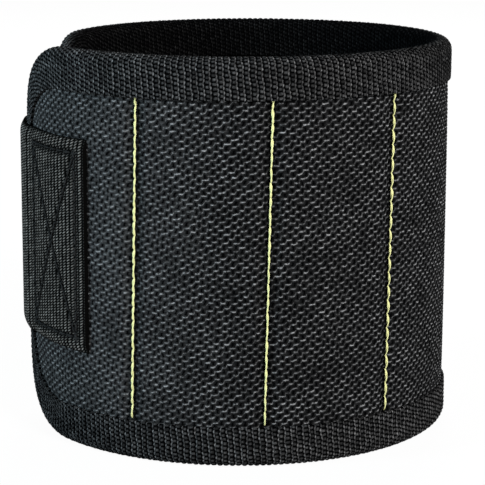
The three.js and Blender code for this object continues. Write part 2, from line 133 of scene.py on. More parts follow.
# Yarns
SAMPLES = 4
WARP_PITCH = 1.245
WEFT_PITCH = 0.886
WEAVE_LEAN = 0.142
WEAVE_TILT = 0.035
WEAVE_LEAN_FADE = 18.0
WEAVE_CROWN = 0.32
WEAVE_PROUD = 0.05
RIB_PITCH = 1.382
BEAD_PITCH = 1.0
RIB_CROWN = 0.36
RIB_LEAN = 0.07
WEBBING_PITCH = 1.4
WEBBING_SEGMENT = 0.64
WEBBING_SLANT = 1.2
WEBBING_SAMPLES = 3
WEBBING_CROWN = 0.3
MESH_PITCH = 2.2
MESH_ROW = 0.866
MESH_STEP = 0.6
MESH_HOLE = 0.36
MESH_HOLE_DEPTH = 0.35
PILE_HEIGHT = 0.7

# Foam, and the faces that don't show
FOAM_VOXEL = 1.1
FOAM_SMOOTHING = 3
FOAM_MERGE = 0.001
HIDDEN_STEP = 2.0
HIDDEN_ROWS = 25
UNDER_TAPE = 8.0

# Sizes that follow
THICKNESS = SHELL_THICKNESS + FOAM_THICKNESS + LINING_THICKNESS + 2 * LAYER_GAP
TAPE_PROUD = LAYER_GAP + TAPE_THICKNESS
EDGE_INSET = TAPE_THICKNESS + TAPE_FOLD_GAP
TAIL_RISE = THICKNESS + 2 * TAPE_PROUD + OVERLAP_GAP
RADIUS_STEP = TAIL_RISE / (1 - math.cos(JOIN_ANGLE - TAIL_ANGLE + 2 * math.pi))
OUTER_RADIUS = MAIN_RADIUS + RADIUS_STEP
OUTER_CENTRE = (-RADIUS_STEP * math.sin(JOIN_ANGLE), RADIUS_STEP * math.cos(JOIN_ANGLE))
JOIN = (JOIN_ANGLE - OUTER_END_ANGLE) * OUTER_RADIUS
BAND_LENGTH = JOIN + (TAIL_ANGLE - JOIN_ANGLE) * MAIN_RADIUS
STITCH_LOW = TAPE_REACH + STITCH_TAPE_GAP
STITCH_ROWS = round((BAND_HEIGHT - 2 * STITCH_LOW) / STITCH_PITCH)
STITCH_STEP = (BAND_HEIGHT - 2 * STITCH_LOW) / STITCH_ROWS
STRAP_LEVEL = BAND_HEIGHT / 2 + STRAP_ABOVE_MIDDLE
STRAP_LOW = STRAP_LEVEL - STRAP_WIDTH / 2
STRAP_HIGH = STRAP_LEVEL + STRAP_WIDTH / 2
PAST_STRAIGHT = max(0.0, STRAP_HIGH - BAND_HEIGHT + CORNER_RADIUS)
TAPE_UNDER_STRAP = CORNER_RADIUS - math.sqrt((CORNER_RADIUS - TAPE_REACH) ** 2 - PAST_STRAIGHT**2)
RAMP_FOOT = TAPE_UNDER_STRAP + STRAP_RAMP
RAMP_TOP = TAPE_UNDER_STRAP + LAYER_GAP
STRAP_ROOT = RAMP_FOOT + STRAP_ROOT_MARGIN
LOOP_LOW = TAPE_REACH + LOOP_EDGE_MARGIN
BODIES = ["outer_end", "pocket_1", "pocket_2", "pocket_3", "back"]
PANELS = ["end", "pocket_1", "pocket_2", "pocket_3", "back"]
seams = FIRST_SEAM + np.cumsum([0.0, *POCKET_WIDTHS])
middles = (seams[:-1] + seams[1:]) / 2
cuts = WARP_PITCH * np.round(middles[:FOLDING_SEAMS] / WARP_PITCH)


# Ring of the band

def angle_at(along):
    front = OUTER_END_ANGLE + along / OUTER_RADIUS
    return np.where(along < JOIN, front, JOIN_ANGLE + (along - JOIN) / MAIN_RADIUS)


def plan_at(along, out):
    """Points in plan, in the solids' own millimetres, at a distance outside the band's outer surface."""
    along = np.asarray(along, float)
    angle = angle_at(along)
    on_front = along < JOIN
    radius = np.where(on_front, OUTER_RADIUS, MAIN_RADIUS) + out
    x = np.where(on_front, OUTER_CENTRE[0], 0) + radius * np.sin(angle)
    y = np.where(on_front, OUTER_CENTRE[1], 0) - radius * np.cos(angle)
    return np.stack([x, y], axis=-1)


joints = {joint["name"]: joint for joint in frame["joints"]}
first_fold = np.array(joints["seam_1_fold"]["pos_m"][:2]) / MM
RING_SHIFT = first_fold - plan_at(FIRST_SEAM, TAPE_PROUD)


def in_frame(plan, height):
    """Points of the shared frame, in metres, from plan points and heights in millimetres."""
    return np.column_stack([plan + RING_SHIFT, height]) * MM


def wrapped(along, height, out):
    return in_frame(plan_at(along, out), height)


class Route:
    """A plane line of straight and round runs, which gives its points and left-hand normals by length."""

    def __init__(self, start, heading):
        self.end = np.array(start, float)
        self.heading = heading
        self.length = 0.0
        self.runs = []

    def add(self, length, bend):
        self.runs.append((self.length, self.end, self.heading, bend))
        self.end = self.at(np.array([self.length + length]))[0][0]
        self.heading += bend * length
        self.length += length
        return self

    def straight(self, length):
        return self.add(length, 0.0)

    def arc(self, radius, turn):
        return self.add(radius * abs(turn), math.copysign(1 / radius, turn))

    def at(self, length):
        points = np.zeros((len(length), 2))
        lefts = np.zeros((len(length), 2))
        for begin, start, heading, bend in self.runs:
            here = (length >= begin) | (begin == 0)
            step = length[here] - begin
            turned = heading + bend * step
            left = np.stack([-np.sin(turned), np.cos(turned)], axis=-1)
            if bend:
                first_left = np.array([-math.sin(heading), math.cos(heading)])
                points[here] = start + (first_left - left) / bend
            else:
                points[here] = start + step[:, None] * np.array([math.cos(heading), math.sin(heading)])
            lefts[here] = left
        return points, lefts


# Outline of the flat band, from the middle of the outer end up, along the top, round the tail and back
QUARTER = math.pi / 2
END_STRAIGHT = BAND_HEIGHT - 2 * CORNER_RADIUS
LONG_STRAIGHT = BAND_LENGTH - 2 * CORNER_RADIUS
outline = Route((0, BAND_HEIGHT / 2), QUARTER).straight(END_STRAIGHT / 2)
for run in (LONG_STRAIGHT, END_STRAIGHT, LONG_STRAIGHT, END_STRAIGHT / 2):
    outline.arc(CORNER_RADIUS, -QUARTER).straight(run)
TOP_START = END_STRAIGHT / 2 + CORNER_RADIUS * QUARTER - CORNER_RADIUS

# Section of the tape folded over the edge, as (distance in from the edge, out)
TAPE_SPAN = THICKNESS + 2 * TAPE_PROUD
tape_section = Route((TAPE_REACH, TAPE_PROUD), math.pi).straight(TAPE_REACH - TAPE_FOLD_RADIUS)
for run in (TAPE_SPAN - 2 * TAPE_FOLD_RADIUS, TAPE_REACH - TAPE_FOLD_RADIUS):
    tape_section.arc(TAPE_FOLD_RADIUS, QUARTER).straight(run)
TAPE_WIDTH = tape_section.length

# Strap past the outer end: a bend, a straight run and the landed part on the tail
STRAP_OVER_TAPE = TAPE_PROUD + LAYER_GAP
CLOSURE_STACK = LAYER_GAP + LOOP_THICKNESS + CLOSURE_GAP + HOOK_THICKNESS + LAYER_GAP
LANDED_RADIUS = MAIN_RADIUS + CLOSURE_STACK
STRAP_ON_BAND = STRAP_ROOT + STRAP_END_CLEARANCE
leave_angle = float(angle_at(np.array(-STRAP_END_CLEARANCE)))
leave_point = plan_at(-STRAP_END_CLEARANCE, STRAP_OVER_TAPE)
leave_way = np.array([math.sin(leave_angle), -math.cos(leave_angle)])
bend_centre = leave_point - STRAP_BEND_RADIUS * leave_way
bend_reach = math.hypot(*bend_centre)
bend_drop = LANDED_RADIUS - STRAP_BEND_RADIUS
land_angle = math.atan2(bend_centre[0], -bend_centre[1]) - math.acos(bend_drop / bend_reach)
strap_route = Route(leave_point, leave_angle + math.pi)
strap_route.arc(STRAP_BEND_RADIUS, land_angle - leave_angle)
strap_route.straight(math.sqrt(bend_reach**2 - bend_drop**2))
strap_route.arc(LANDED_RADIUS, -STRAP_LANDED_LENGTH / LANDED_RADIUS)
STRAP_TIP = STRAP_ON_BAND + strap_route.length


# Meshes and objects

def placed(name, data):
    """A new object in the scene."""
    made = bpy.data.objects.new(name, data)
    bpy.context.scene.collection.objects.link(made)
    return made


def new_mesh(name, points, edges=(), faces=()):
    mesh = bpy.data.meshes.new(name)
    mesh.from_pydata(points, edges, faces)
    return mesh


def evaluated(piece):
    return piece.evaluated_get(bpy.context.evaluated_depsgraph_get())


def made_plain(piece):
    """Gives a piece what its modifiers make of it, as its own plain mesh."""
    made = bpy.data.meshes.new_from_object(evaluated(piece))
    piece.modifiers.clear()
    piece.data = made
    return made


def vertex_places(mesh):
    places = np.zeros(len(mesh.vertices) * 3, np.float32)
    mesh.vertices.foreach_get("co", places)
    return places.reshape(-1, 3).astype(float)


def quads(ids):
    """Faces between neighbours in a grid of vertex numbers."""
    return np.stack([ids[:-1, :-1], ids[1:, :-1], ids[1:, 1:], ids[:-1, 1:]], axis=-1).reshape(-1, 4)


# Sewn lines and edges of the flat band

def smooth(value, low, high):
    share = np.clip((value - low) / (high - low), 0, 1)
    return share * share * (3 - 2 * share)


def seam_sway(height):
    """How far a sewn line leans along the band at a height."""
    return SEAM_LEAN * (height - SEAM_PIVOT)


def seam_distance(along, height):
    return np.min([np.abs(along - seam - seam_sway(height)) for seam in seams], axis=0)


def dip_at(along, height):
    near = np.minimum(seam_distance(along, height) / SEAM_DIP_REACH, 1)
    return np.cos(QUARTER * near) ** 2


def pucker_at(along, height):
    """Share of the dimple at each needle hole of a sewn line."""
    from_hole = (height - STITCH_LOW) % STITCH_STEP
    from_hole = np.minimum(from_hole, STITCH_STEP - from_hole)
    return np.exp(-(seam_distance(along, height) ** 2 + from_hole**2) / PUCKER_REACH**2)


def inside_outline(along, height):
    """Heights squeezed into the rounded outline, all of it under the tape."""
    radius = CORNER_RADIUS - EDGE_INSET
    reach = np.clip(CORNER_RADIUS - np.minimum(along, BAND_LENGTH - along), 0, radius)
    low = CORNER_RADIUS - np.sqrt(np.maximum(radius**2 - reach**2, 0))
    from_edge = np.minimum(height, BAND_HEIGHT - height)
    room = UNDER_TAPE - EDGE_INSET
    squeezed = low + (from_edge - EDGE_INSET) * room / (low + room - EDGE_INSET)
    from_edge = np.where(from_edge < low + room, squeezed, from_edge)
    return np.where(height < BAND_HEIGHT / 2, from_edge, BAND_HEIGHT - from_edge)


# Swell of the cloth over the foam, simulated as a flat sheet that is sewn down at the seams and edges

SWELL_STEP = 2.5
SWELL_FRAMES = 20
SWELL_PRESSURE = 4.0
SWELL_SCALE = 0.02
SWELL_FULL_PERCENTILE = 98


def simulated_swell():
    """Share of the swell on a coarse grid of the flat band, as (columns, rows, shares)."""
    columns = np.linspace(0, BAND_LENGTH, round(BAND_LENGTH / SWELL_STEP) + 1)
    rows = np.linspace(0, BAND_HEIGHT, round(BAND_HEIGHT / SWELL_STEP) + 1)
    along, height = [side.ravel() for side in np.meshgrid(columns, rows, indexing="ij")]
    from_edge = np.min([along, BAND_LENGTH - along, height, BAND_HEIGHT - height], axis=0)
    on_seam = seam_distance(along, height) < SWELL_STEP / 2
    sewn = on_seam | (from_edge < TAPE_REACH) | (along > seams[-1])
    ids = np.arange(along.size).reshape(columns.size, rows.size)
    points = np.column_stack([along, height, np.zeros(along.size)]) * SWELL_SCALE
    sheet = placed("swell", new_mesh("swell", points, faces=quads(ids).tolist()))
    sheet.vertex_groups.new(name="sewn").add(np.flatnonzero(sewn).tolist(), 1.0, "REPLACE")
    cloth = sheet.modifiers.new("cloth", "CLOTH").settings
    cloth.vertex_group_mass = "sewn"
    cloth.use_pressure = True
    cloth.uniform_pressure_force = SWELL_PRESSURE
    cloth.effector_weights.gravity = 0.0
    for step in range(1, SWELL_FRAMES + 1):
        bpy.context.scene.frame_set(step)
    rise = np.abs(vertex_places(evaluated(sheet).data)[:, 2])
    bpy.data.objects.remove(sheet)
    bpy.context.scene.frame_set(1)
    shares = np.minimum(rise / np.percentile(rise, SWELL_FULL_PERCENTILE), 1)
    return columns, rows, shares.reshape(columns.size, rows.size)


swell_columns, swell_rows, swell_shares = simulated_swell()


def grid_cell(value, lines):
    """Number of the grid cell that holds each value, and the share of the cell that lies before it."""
    count = np.interp(value, lines, np.arange(lines.size))
    cell = np.minimum(count.astype(int), lines.size - 2)
    return cell, count - cell


def swell_at(along, height):
    """Share of the swell at any place, between the points of its grid."""
    i, x = grid_cell(along, swell_columns)
    j, y = grid_cell(height, swell_rows)
    low = swell_shares[i, j] * (1 - y) + swell_shares[i, j + 1] * y
    high = swell_shares[i + 1, j] * (1 - y) + swell_shares[i + 1, j + 1] * y
    return low * (1 - x) + high * x


# Where the flat pieces go: each takes flat (along, across, out) points

def shell_place(flat):
    along, height, out = flat.T
    out = out + POCKET_SWELL * swell_at(along, height) - SEAM_DIP * dip_at(along, height)
    out = out - PUCKER_DEPTH * pucker_at(along, height)
    return wrapped(along, inside_outline(along, height), out)


def lining_place(flat):
    along, height, out = flat.T
    out = -THICKNESS + LINING_DIP * dip_at(along, height) - out
    return wrapped(along, inside_outline(along, height), out)


def tape_place(flat):
    edge, left = outline.at(flat[:, 0] % outline.length)
    section, section_left = tape_section.at(flat[:, 1])
    inward, out = (section - section_left * flat[:, 2:]).T
    along, height = (edge - left * inward[:, None]).T
    return wrapped(along, height, out)


def stitch_place(flat):
    along, height, out = flat.T
    return wrapped(along + seam_sway(height), height, out - SEAM_DIP + THREAD_BED)


def strap_seat(along):
    """Height of the strap's inner face above the shell, as it climbs onto the tape."""
    climb = smooth(RAMP_FOOT - along, 0, RAMP_FOOT - RAMP_TOP)
    return LAYER_GAP + (STRAP_OVER_TAPE - LAYER_GAP) * climb


def strap_place(length, height, out):
    """Places on the strap, by length from its root towards its tip, height and out from its inner face."""
    along = STRAP_ROOT - length
    on_band = plan_at(along, strap_seat(along) + out)
    route, left = strap_route.at(length - STRAP_ON_BAND)
    beyond = route + left * out[:, None]
    return in_frame(np.where((length < STRAP_ON_BAND)[:, None], on_band, beyond), height)


# Node trees written as expressions

def with_other(operation):
    return lambda self, other: self.maths(operation, self, other)


def alone(operation):
    return lambda self: self.maths(operation, self)


class Wire:
    """A socket of a node tree. Arithmetic on it adds Math nodes, and node() adds any other node."""

    def __init__(self, tree, socket=None):
        self.tree = tree
        self.socket = socket

    def feed(self, socket, value):
        """Links a wire to a socket, or sets the socket's value."""
        if isinstance(value, Wire):
            self.tree.links.new(value.socket, socket)
        else:
            socket.default_value = value

    def node(self, kind, values=None, out=0, **settings):
        """An output of a new node, whose settings are made before its sockets get values or links."""
        made = self.tree.nodes.new(kind)
        for name, value in settings.items():
            setattr(made, name, value)
        for key, value in (values or {}).items():
            self.feed(made.inputs[key], value)
        return Wire(self.tree, made.outputs[out])

    def beside(self, name):
        """Another output of the same node."""
        return Wire(self.tree, self.socket.node.outputs[name])

    def maths(self, operation, *values):
        return self.node("ShaderNodeMath", dict(enumerate(values)), operation=operation)

    def mixed(self, first, second):
        """The colour at this share of the way from the first colour to the second."""
        colours = {0: self, 6: (*first, 1.0), 7: (*second, 1.0)}
        return self.node("ShaderNodeMix", colours, out=2, data_type="RGBA")

    __add__ = __radd__ = with_other("ADD")
    __sub__ = with_other("SUBTRACT")
    __mul__ = __rmul__ = with_other("MULTIPLY")
    __truediv__ = with_other("DIVIDE")
    __mod__ = with_other("FLOORED_MODULO")
    __pow__ = with_other("POWER")
    most = with_other("MAXIMUM")
    least = with_other("MINIMUM")
    floor = alone("FLOOR")
    sine = alone("SINE")
    cosine = alone("COSINE")

    def __rsub__(self, other):
        return self.maths("SUBTRACT", other, self)

    def root(self):
        return self.maths("SQRT", self.most(0.0))

    def square(self):
        return self * self

    def held(self):
        """Kept between 0 and 1."""
        return self.most(0.0).least(1.0)


def vector(nodes, x=0.0, y=0.0, z=0.0):
    return nodes.node("ShaderNodeCombineXYZ", {"X": x, "Y": y, "Z": z})


def vector_parts(nodes, whole):
    x = nodes.node("ShaderNodeSeparateXYZ", {"Vector": whole})
    return x, x.beside("Y"), x.beside("Z")


def cell_noise(nodes, x, y, seed):
    spot = {"Vector": vector(nodes, x, y, seed)}
    return nodes.node("ShaderNodeTexWhiteNoise", spot, out="Value", noise_dimensions="3D")


def hump(value, reach):
    """1 at zero, falling to none at the reach."""
    return (1 - (value / reach).square()).most(0.0)


def lifted(share, least):
    """A share, squeezed so that it starts at the least and not at zero."""
    return least + (1 - least) * share


def from_middle(count):
    """Distance from the middle of a cell, from -0.5 to 0.5."""
    return count - count.floor() - 0.5


def rounded(x):
    """Height of a round section at a place from -0.5 to 0.5 across it."""
    return (1 - (2 * x).square()).root()


def weft_float(u, v):
    """Row of a weft yarn, and place from -1 to 1 along its float and the dive that follows."""
    row = v.floor()
    return row, (u + row + 0.5) % 2.0 - 1.0


def float_tone(nodes, u, row, seed):
    """A random share for each weft float."""
    return cell_noise(nodes, ((u + row + 0.5) / 2.0).floor(), row, seed)


def rib_cells(u, v, slant=0.0):
    """Rib number, place across the rib, and count along it, which shifts by half from rib to rib."""
    rib = u.floor()
    x = u - rib - 0.5
    return rib, x, v + slant * x + 0.5 * (rib % 2.0)


def hole_distance(u, v):
    """Distance from the middle of a hole of the knit, in steps between holes."""
    return (from_middle(u).square() + (from_middle(v) * MESH_ROW).square()).root()


def geometry_tree(name, sizes, grow):
    """A Geometry Nodes tree with a named input for each size. grow(nodes, inputs) gives its geometry."""
    tree = bpy.data.node_groups.new(name, "GeometryNodeTree")
    sockets = tree.interface
    sockets.new_socket("Geometry", in_out="INPUT", socket_type="NodeSocketGeometry")
    for key, value in sizes.items():
        kind = "NodeSocketInt" if isinstance(value, int) else "NodeSocketFloat"
        sockets.new_socket(key, in_out="INPUT", socket_type=kind).default_value = value
    sockets.new_socket("Material", in_out="INPUT", socket_type="NodeSocketMaterial")
    sockets.new_socket("Geometry", in_out="OUTPUT", socket_type="NodeSocketGeometry")
    start = tree.nodes.new("NodeGroupInput")
    inputs = {socket.name: Wire(tree, socket) for socket in start.outputs if socket.name}
    nodes = Wire(tree)
    real = nodes.node("GeometryNodeRealizeInstances", {"Geometry": grow(nodes, inputs)})
    done = nodes.node("GeometryNodeSetMaterial", {"Geometry": real, "Material": inputs["Material"]})
    end = tree.nodes.new("NodeGroupOutput")
    tree.links.new(done.socket, end.inputs[0])
    return tree


def flat_position(nodes):
    return vector_parts(nodes, nodes.node("GeometryNodeInputPosition"))


def random_vector(nodes, low, high, seed):
    limits = {0: low, 1: high, "Seed": seed}
    return nodes.node("FunctionNodeRandomValue", limits, data_type="FLOAT_VECTOR")


def moved(nodes, geometry, offset):
    return nodes.node("GeometryNodeSetPosition", {"Geometry": geometry, "Offset": offset})


def resampled(nodes, line, count):
    return nodes.node("GeometryNodeResampleCurve", {"Curve": line, "Count": count}, mode="COUNT")


def tube(nodes, line, sides, radius):
    ring = nodes.node("GeometryNodeCurvePrimitiveCircle", {"Resolution": sides, "Radius": radius})
    swept = {"Curve": line, "Profile Curve": ring, "Fill Caps": True}
    return nodes.node("GeometryNodeCurveToMesh", swept)


def raised(nodes, inputs, u, v, height, sink):
    """Relief on the faces marked by side, with the yarn counts u and v stored for the finish."""
    counts = {"Geometry": inputs["Geometry"], "Name": "yarn", "Value": vector(nodes, u, v)}
    store = "GeometryNodeStoreNamedAttribute"
    geometry = nodes.node(store, counts, data_type="FLOAT_VECTOR", domain="POINT")
    side = nodes.node("GeometryNodeInputNamedAttribute", {"Name": "side"}, data_type="FLOAT")
    return moved(nodes, geometry, vector(nodes, z=(height - sink) * side))


def plain_weave(nodes, inputs):
    """Weft floats and warp floats in turn, each a small arch with a round section."""
    along, across, _ = flat_position(nodes)
    straight = along - inputs["Lean"] * (across - inputs["Middle"])
    u = straight / inputs["Warp Pitch"]
    v = (across + inputs["Tilt"] * straight) / inputs["Weft Pitch"]
    row, weft_end = weft_float(u, v)
    warp_end = (v + u.floor() - 0.5) % 2.0 - 1.0
    weft = rounded(from_middle(v)) * hump(weft_end, inputs["Weft Float"])
    warp = rounded(from_middle(u)) * hump(warp_end, inputs["Warp Float"])
    weft = weft * lifted(float_tone(nodes, u, row, inputs["Seed"]), inputs["Least Float"])
    height = weft.most(warp * inputs["Warp Share"])
    return raised(nodes, inputs, u, v, height * inputs["Crown"], inputs["Crown"] - inputs["Proud"])


def ribbed_cloth(nodes, inputs):
    """Ribs across the cloth, each a row of slanted beads, flattened into a selvage at both edges."""
    along, across, _ = flat_position(nodes)
    u = (along + inputs["Lean"] * across) / inputs["Rib Pitch"]
    v = across / inputs["Bead Pitch"]
    rib, x, step = rib_cells(u, v, inputs["Slant"])
    beads = rounded(x) * (1 - inputs["Dent"] * (2 * from_middle(step)).square())
    tone = cell_noise(nodes, rib, step.floor(), inputs["Seed"])
    edge = across.least(inputs["Width"] - across)
    body = ((edge - inputs["Selvage"]) / inputs["Selvage"]).held()
    selvage = inputs["Selvage Level"] + inputs["Selvage Relief"] * beads
    height = body * beads * lifted(tone, inputs["Least Bead"]) + (1 - body) * selvage
    return raised(nodes, inputs, u, v, height * inputs["Crown"], inputs["Crown"])


def mesh_knit(nodes, inputs):
    """Knitted lining with rows of small round holes, each row half a step from the last."""
    along, across, _ = flat_position(nodes)
    v = across / (inputs["Pitch"] * MESH_ROW)
    u = along / inputs["Pitch"] + 0.5 * (v.floor() % 2.0)
    depth = ((inputs["Hole"] - hole_distance(u, v)) / (0.5 * inputs["Hole"])).held()
    return raised(nodes, inputs, u, v, (1 - depth) * inputs["Depth"], inputs["Depth"])


# Form of one stitch, and points along one strand of pile
STITCH_POINTS = 11
STITCH_SQUARENESS = 4.0
STITCH_END_SHARE = 0.6
STITCH_SWAY = ((0.0, 0.0, -0.05), (0.02, 0.05, 0.05))
STITCH_SCALE = ((1.0, 0.8, 0.9), (1.0, 1.25, 1.1))
PLY_SHARE = 0.6
PLY_SIDES = 5
STRAND_POINTS = 9


def sewn_thread(nodes, inputs):
    """Two twisted plies for each stitch along the input edges, which dive into the cloth at its ends."""
    line = nodes.node("GeometryNodeMeshToCurve", {"Mesh": inputs["Geometry"]})
    step = {"Curve": line, "Length": inputs["Pitch"]}
    points = nodes.node("GeometryNodeCurveToPoints", step, mode="LENGTH")
    plies = nodes.node("GeometryNodeJoinGeometry")
    half = inputs["Length"] / 2.0
    for phase in (0.0, math.pi):
        ends = {"Start": vector(nodes, -1 * half), "End": vector(nodes, half)}
        bar = resampled(nodes, nodes.node("GeometryNodeCurvePrimitiveLine", ends), STITCH_POINTS)
        share = nodes.node("GeometryNodeSplineParameter", out="Factor")
        dive = 1 - (2 * share - 1) ** STITCH_SQUARENESS
        turn = share * inputs["Twist"] + phase
        spread = 0.5 * inputs["Radius"] * dive
        rise = turn.sine() * spread + inputs["Lift"] * dive - inputs["Sink"] * (1 - dive)
        bar = moved(nodes, bar, vector(nodes, y=turn.cosine() * spread, z=rise))
        taper = {"Curve": bar, "Radius": lifted(dive, STITCH_END_SHARE)}
        bar = nodes.node("GeometryNodeSetCurveRadius", taper)
        ply = tube(nodes, bar, PLY_SIDES, PLY_SHARE * inputs["Radius"])
        nodes.feed(plies.socket.node.inputs[0], ply)
    way = {"Vector": points.beside("Tangent")}
    turned = nodes.node("FunctionNodeAlignRotationToVector", way, axis="X", pivot_axis="Z")
    sway = random_vector(nodes, *STITCH_SWAY, inputs["Seed"])
    sway = nodes.node("FunctionNodeEulerToRotation", {0: sway})
    turned = nodes.node("FunctionNodeRotateRotation", {"Rotation": turned, "Rotate By": sway})
    uneven = random_vector(nodes, *STITCH_SCALE, inputs["Seed"])
    spots = {"Points": points, "Instance": plies, "Rotation": turned, "Scale": uneven}
    return nodes.node("GeometryNodeInstanceOnPoints", spots)


def pile(nodes, inputs):
    """Bent strands scattered over the input points: half a turn makes loops, and a bit more makes hooks."""
    jitter = random_vector(nodes, (-1.0, -1.0, 0.0), (1.0, 1.0, 0.0), inputs["Seed"])
    jitter = {0: jitter, "Scale": inputs["Jitter"]}
    jitter = nodes.node("ShaderNodeVectorMath", jitter, operation="SCALE")
    points = moved(nodes, inputs["Geometry"], jitter)
    strand = resampled(nodes, nodes.node("GeometryNodeCurvePrimitiveLine"), STRAND_POINTS)
    share = nodes.node("GeometryNodeSplineParameter", out="Factor")
    turn = share * inputs["Turn"]
    stalk = (2 * share).least(1.0) * inputs["Stalk"]
    spot = vector(nodes, inputs["Bend"] * (1 - turn.cosine()), z=stalk + inputs["Rise"] * turn.sine())
    strand = nodes.node("GeometryNodeSetPosition", {"Geometry": strand, "Position": spot})
    strand = tube(nodes, strand, inputs["Sides"], inputs["Radius"])
    lean = random_vector(nodes, (-1.0, -1.0, -1.0), (1.0, 1.0, 1.0), inputs["Seed"])
    reach = vector(nodes, inputs["Lean"], inputs["Lean"], inputs["Swing"])
    lean = nodes.node("ShaderNodeVectorMath", {0: lean, 1: reach}, operation="MULTIPLY")
    lean = nodes.node("FunctionNodeEulerToRotation", {0: lean})
    spots = {"Points": points, "Instance": strand, "Rotation": lean}
    return nodes.node("GeometryNodeInstanceOnPoints", spots)


# Flat meshes that the trees start from, and their places in the bake map

BAKE_MAP = "OFBake"
BACK_MAP = (0.82, 0.9)
STRAP_BACK_MAP = (0.47, 0.9)
MAP_GAP = 0.02
WALL_LINES = (0.92, 0.94)
SIDE_LINE = 0.96
WALL_DEPTH = 0.012
SIDE_LENGTH = 0.45
LEAST_STEP = 0.3


def stations(start, end, step, anchor=0.0):
    """Places from start to end, a step apart in line with the anchor, with the two ends themselves."""
    first = math.ceil((start - anchor) / step + LEAST_STEP)
    last = math.floor((end - anchor) / step - LEAST_STEP)
    return np.array([start, *(anchor + step * np.arange(first, last + 1)), end])


def few_rows(rows):
    """Numbers of the rows that the hidden face of a sheet keeps."""
    return np.unique(np.round(np.linspace(0, rows.size - 1, HIDDEN_ROWS)).astype(int))


def closed_sheet(name, columns, rows, depth, back_rows, back_side=0.0, back_map=BACK_MAP, skew=None):
    """Flat closed cloth with a fine face at out 0, a face of fewer rows behind it, and walls round both."""
    behind = rows[back_rows]
    front = np.arange(columns.size * rows.size).reshape(columns.size, rows.size)
    back = front.size + np.arange(columns.size * behind.size).reshape(columns.size, behind.size)
    x = np.concatenate([np.repeat(columns, rows.size), np.repeat(columns, behind.size)])
    y = np.concatenate([np.tile(rows, columns.size), np.tile(behind, columns.size)])
    is_back = np.arange(x.size) >= front.size
    spots = skew(x, y) if skew else (x, y)
    points = np.column_stack([*spots, np.where(is_back, -depth, 0.0)])
    low = np.column_stack([front[1:, 0], front[:-1, 0], back[:-1, 0], back[1:, 0]])
    high = np.column_stack([front[:-1, -1], front[1:, -1], back[1:, -1], back[:-1, -1]])
    first = np.concatenate([front[0], back[0, ::-1]])
    last = np.concatenate([front[-1, ::-1], back[-1]])
    groups = [quads(front), quads(back)[:, ::-1], low, high, first[None], last[None]]

    u = (x - columns[0]) / np.ptp(columns)
    v = (y - rows[0]) / np.ptp(rows)
    wall = WALL_DEPTH * is_back
    maps = [
        (u, (back_map[0] - MAP_GAP) * v),
        (u, back_map[0] + np.ptp(back_map) * v),
        (u, WALL_LINES[0] + wall),
        (u, WALL_LINES[1] + wall),
        (SIDE_LENGTH * v, SIDE_LINE + wall),
        (1 - SIDE_LENGTH * v, SIDE_LINE + wall),
    ]
    corners = [np.column_stack([a[ids.ravel()], b[ids.ravel()]]) for ids, (a, b) in zip(groups, maps)]
    mesh = new_mesh(name, points, faces=[face for ids in groups for face in ids.tolist()])
    mesh.uv_layers.new(name=BAKE_MAP).uv.foreach_set("vector", np.concatenate(corners).ravel())
    on_faces = len(groups[0]) + len(groups[1])
    mesh.polygons.foreach_set("use_smooth", np.arange(len(mesh.polygons)) < on_faces)
    side = mesh.attributes.new("side", "FLOAT", "POINT")
    side.data.foreach_set("value", np.where(is_back, back_side, 1.0))
    return mesh


def edge_lines(name, lines):
    """A mesh of loose edges, one for each (start, end) of flat (along, across) points."""
    points = [(*point, 0.0) for line in lines for point in line]
    return new_mesh(name, points, [(2 * i, 2 * i + 1) for i in range(len(lines))])


def point_field(name, columns, rows):
    return new_mesh(name, [(x, y, 0.0) for x in columns for y in rows])


def face_out(mesh):
    """Turns a closed mesh the right way if its volume is negative."""
    mesh.calc_loop_triangles()
    corners = np.zeros(len(mesh.loop_triangles) * 3, np.int32)
    mesh.loop_triangles.foreach_get("vertices", corners)
    a, b, c = vertex_places(mesh)[corners.reshape(-1, 3)].transpose(1, 0, 2)
    if (a * np.cross(b, c)).sum() < 0:
        mesh.flip_normals()
    mesh.update()


def grown(name, mesh, tree, sizes, material, place, marks=None):
    """A finished piece: the tree's result as a plain mesh, laid in its place in the shared frame.
    Marks are values of the flat points, kept for the finish."""
    piece = placed(name, mesh)
    maker = piece.modifiers.new("grow", "NODES")
    maker.node_group = tree
    keys = {item.name: item.identifier for item in tree.interface.items_tree if item.in_out == "INPUT"}
    for key, value in {**sizes, "Material": material}.items():
        maker[keys[key]] = value
    made = made_plain(piece)
    flat = vertex_places(made)
    made.vertices.foreach_set("co", place(flat).astype(np.float32).ravel())
    spot = made.attributes.new("place", "FLOAT_VECTOR", "POINT")
    spot.data.foreach_set("vector", flat.astype(np.float32).ravel())
    for key, value in (marks or {}).items():
        kept = made.attributes.new(key, "FLOAT", "POINT")
        kept.data.foreach_set("value", value(flat).astype(np.float32))
    face_out(made)
    return piece


# Finishes

CLOTH_SHINE = 0.0
METAL_SHINE = 0.5
EVEN = (1.0, 1.0, 1.0)


def finish(name, look, even):
    """A material with even values for some Principled sockets, and wires from look(nodes) for others."""
    material = bpy.data.materials.new(name)
    material.use_nodes = True
    nodes = Wire(material.node_tree)
    surface = next(n for n in material.node_tree.nodes if n.type == "BSDF_PRINCIPLED")
    sockets = {"Specular IOR Level": CLOTH_SHINE, **even, **look(nodes)}
    for key, value in sockets.items():
        nodes.feed(surface.inputs[key], value)
    return material


def mark(nodes, name):
    return nodes.node("ShaderNodeAttribute", out="Fac", attribute_name=name)


def marked_vector(nodes, name):
    return nodes.node("ShaderNodeAttribute", out="Vector", attribute_name=name)


def noise(nodes, place, scale, detail):
    values = {"Vector": place, "Scale": scale, "Detail": detail}
    return nodes.node("ShaderNodeTexNoise", values, noise_dimensions="3D")


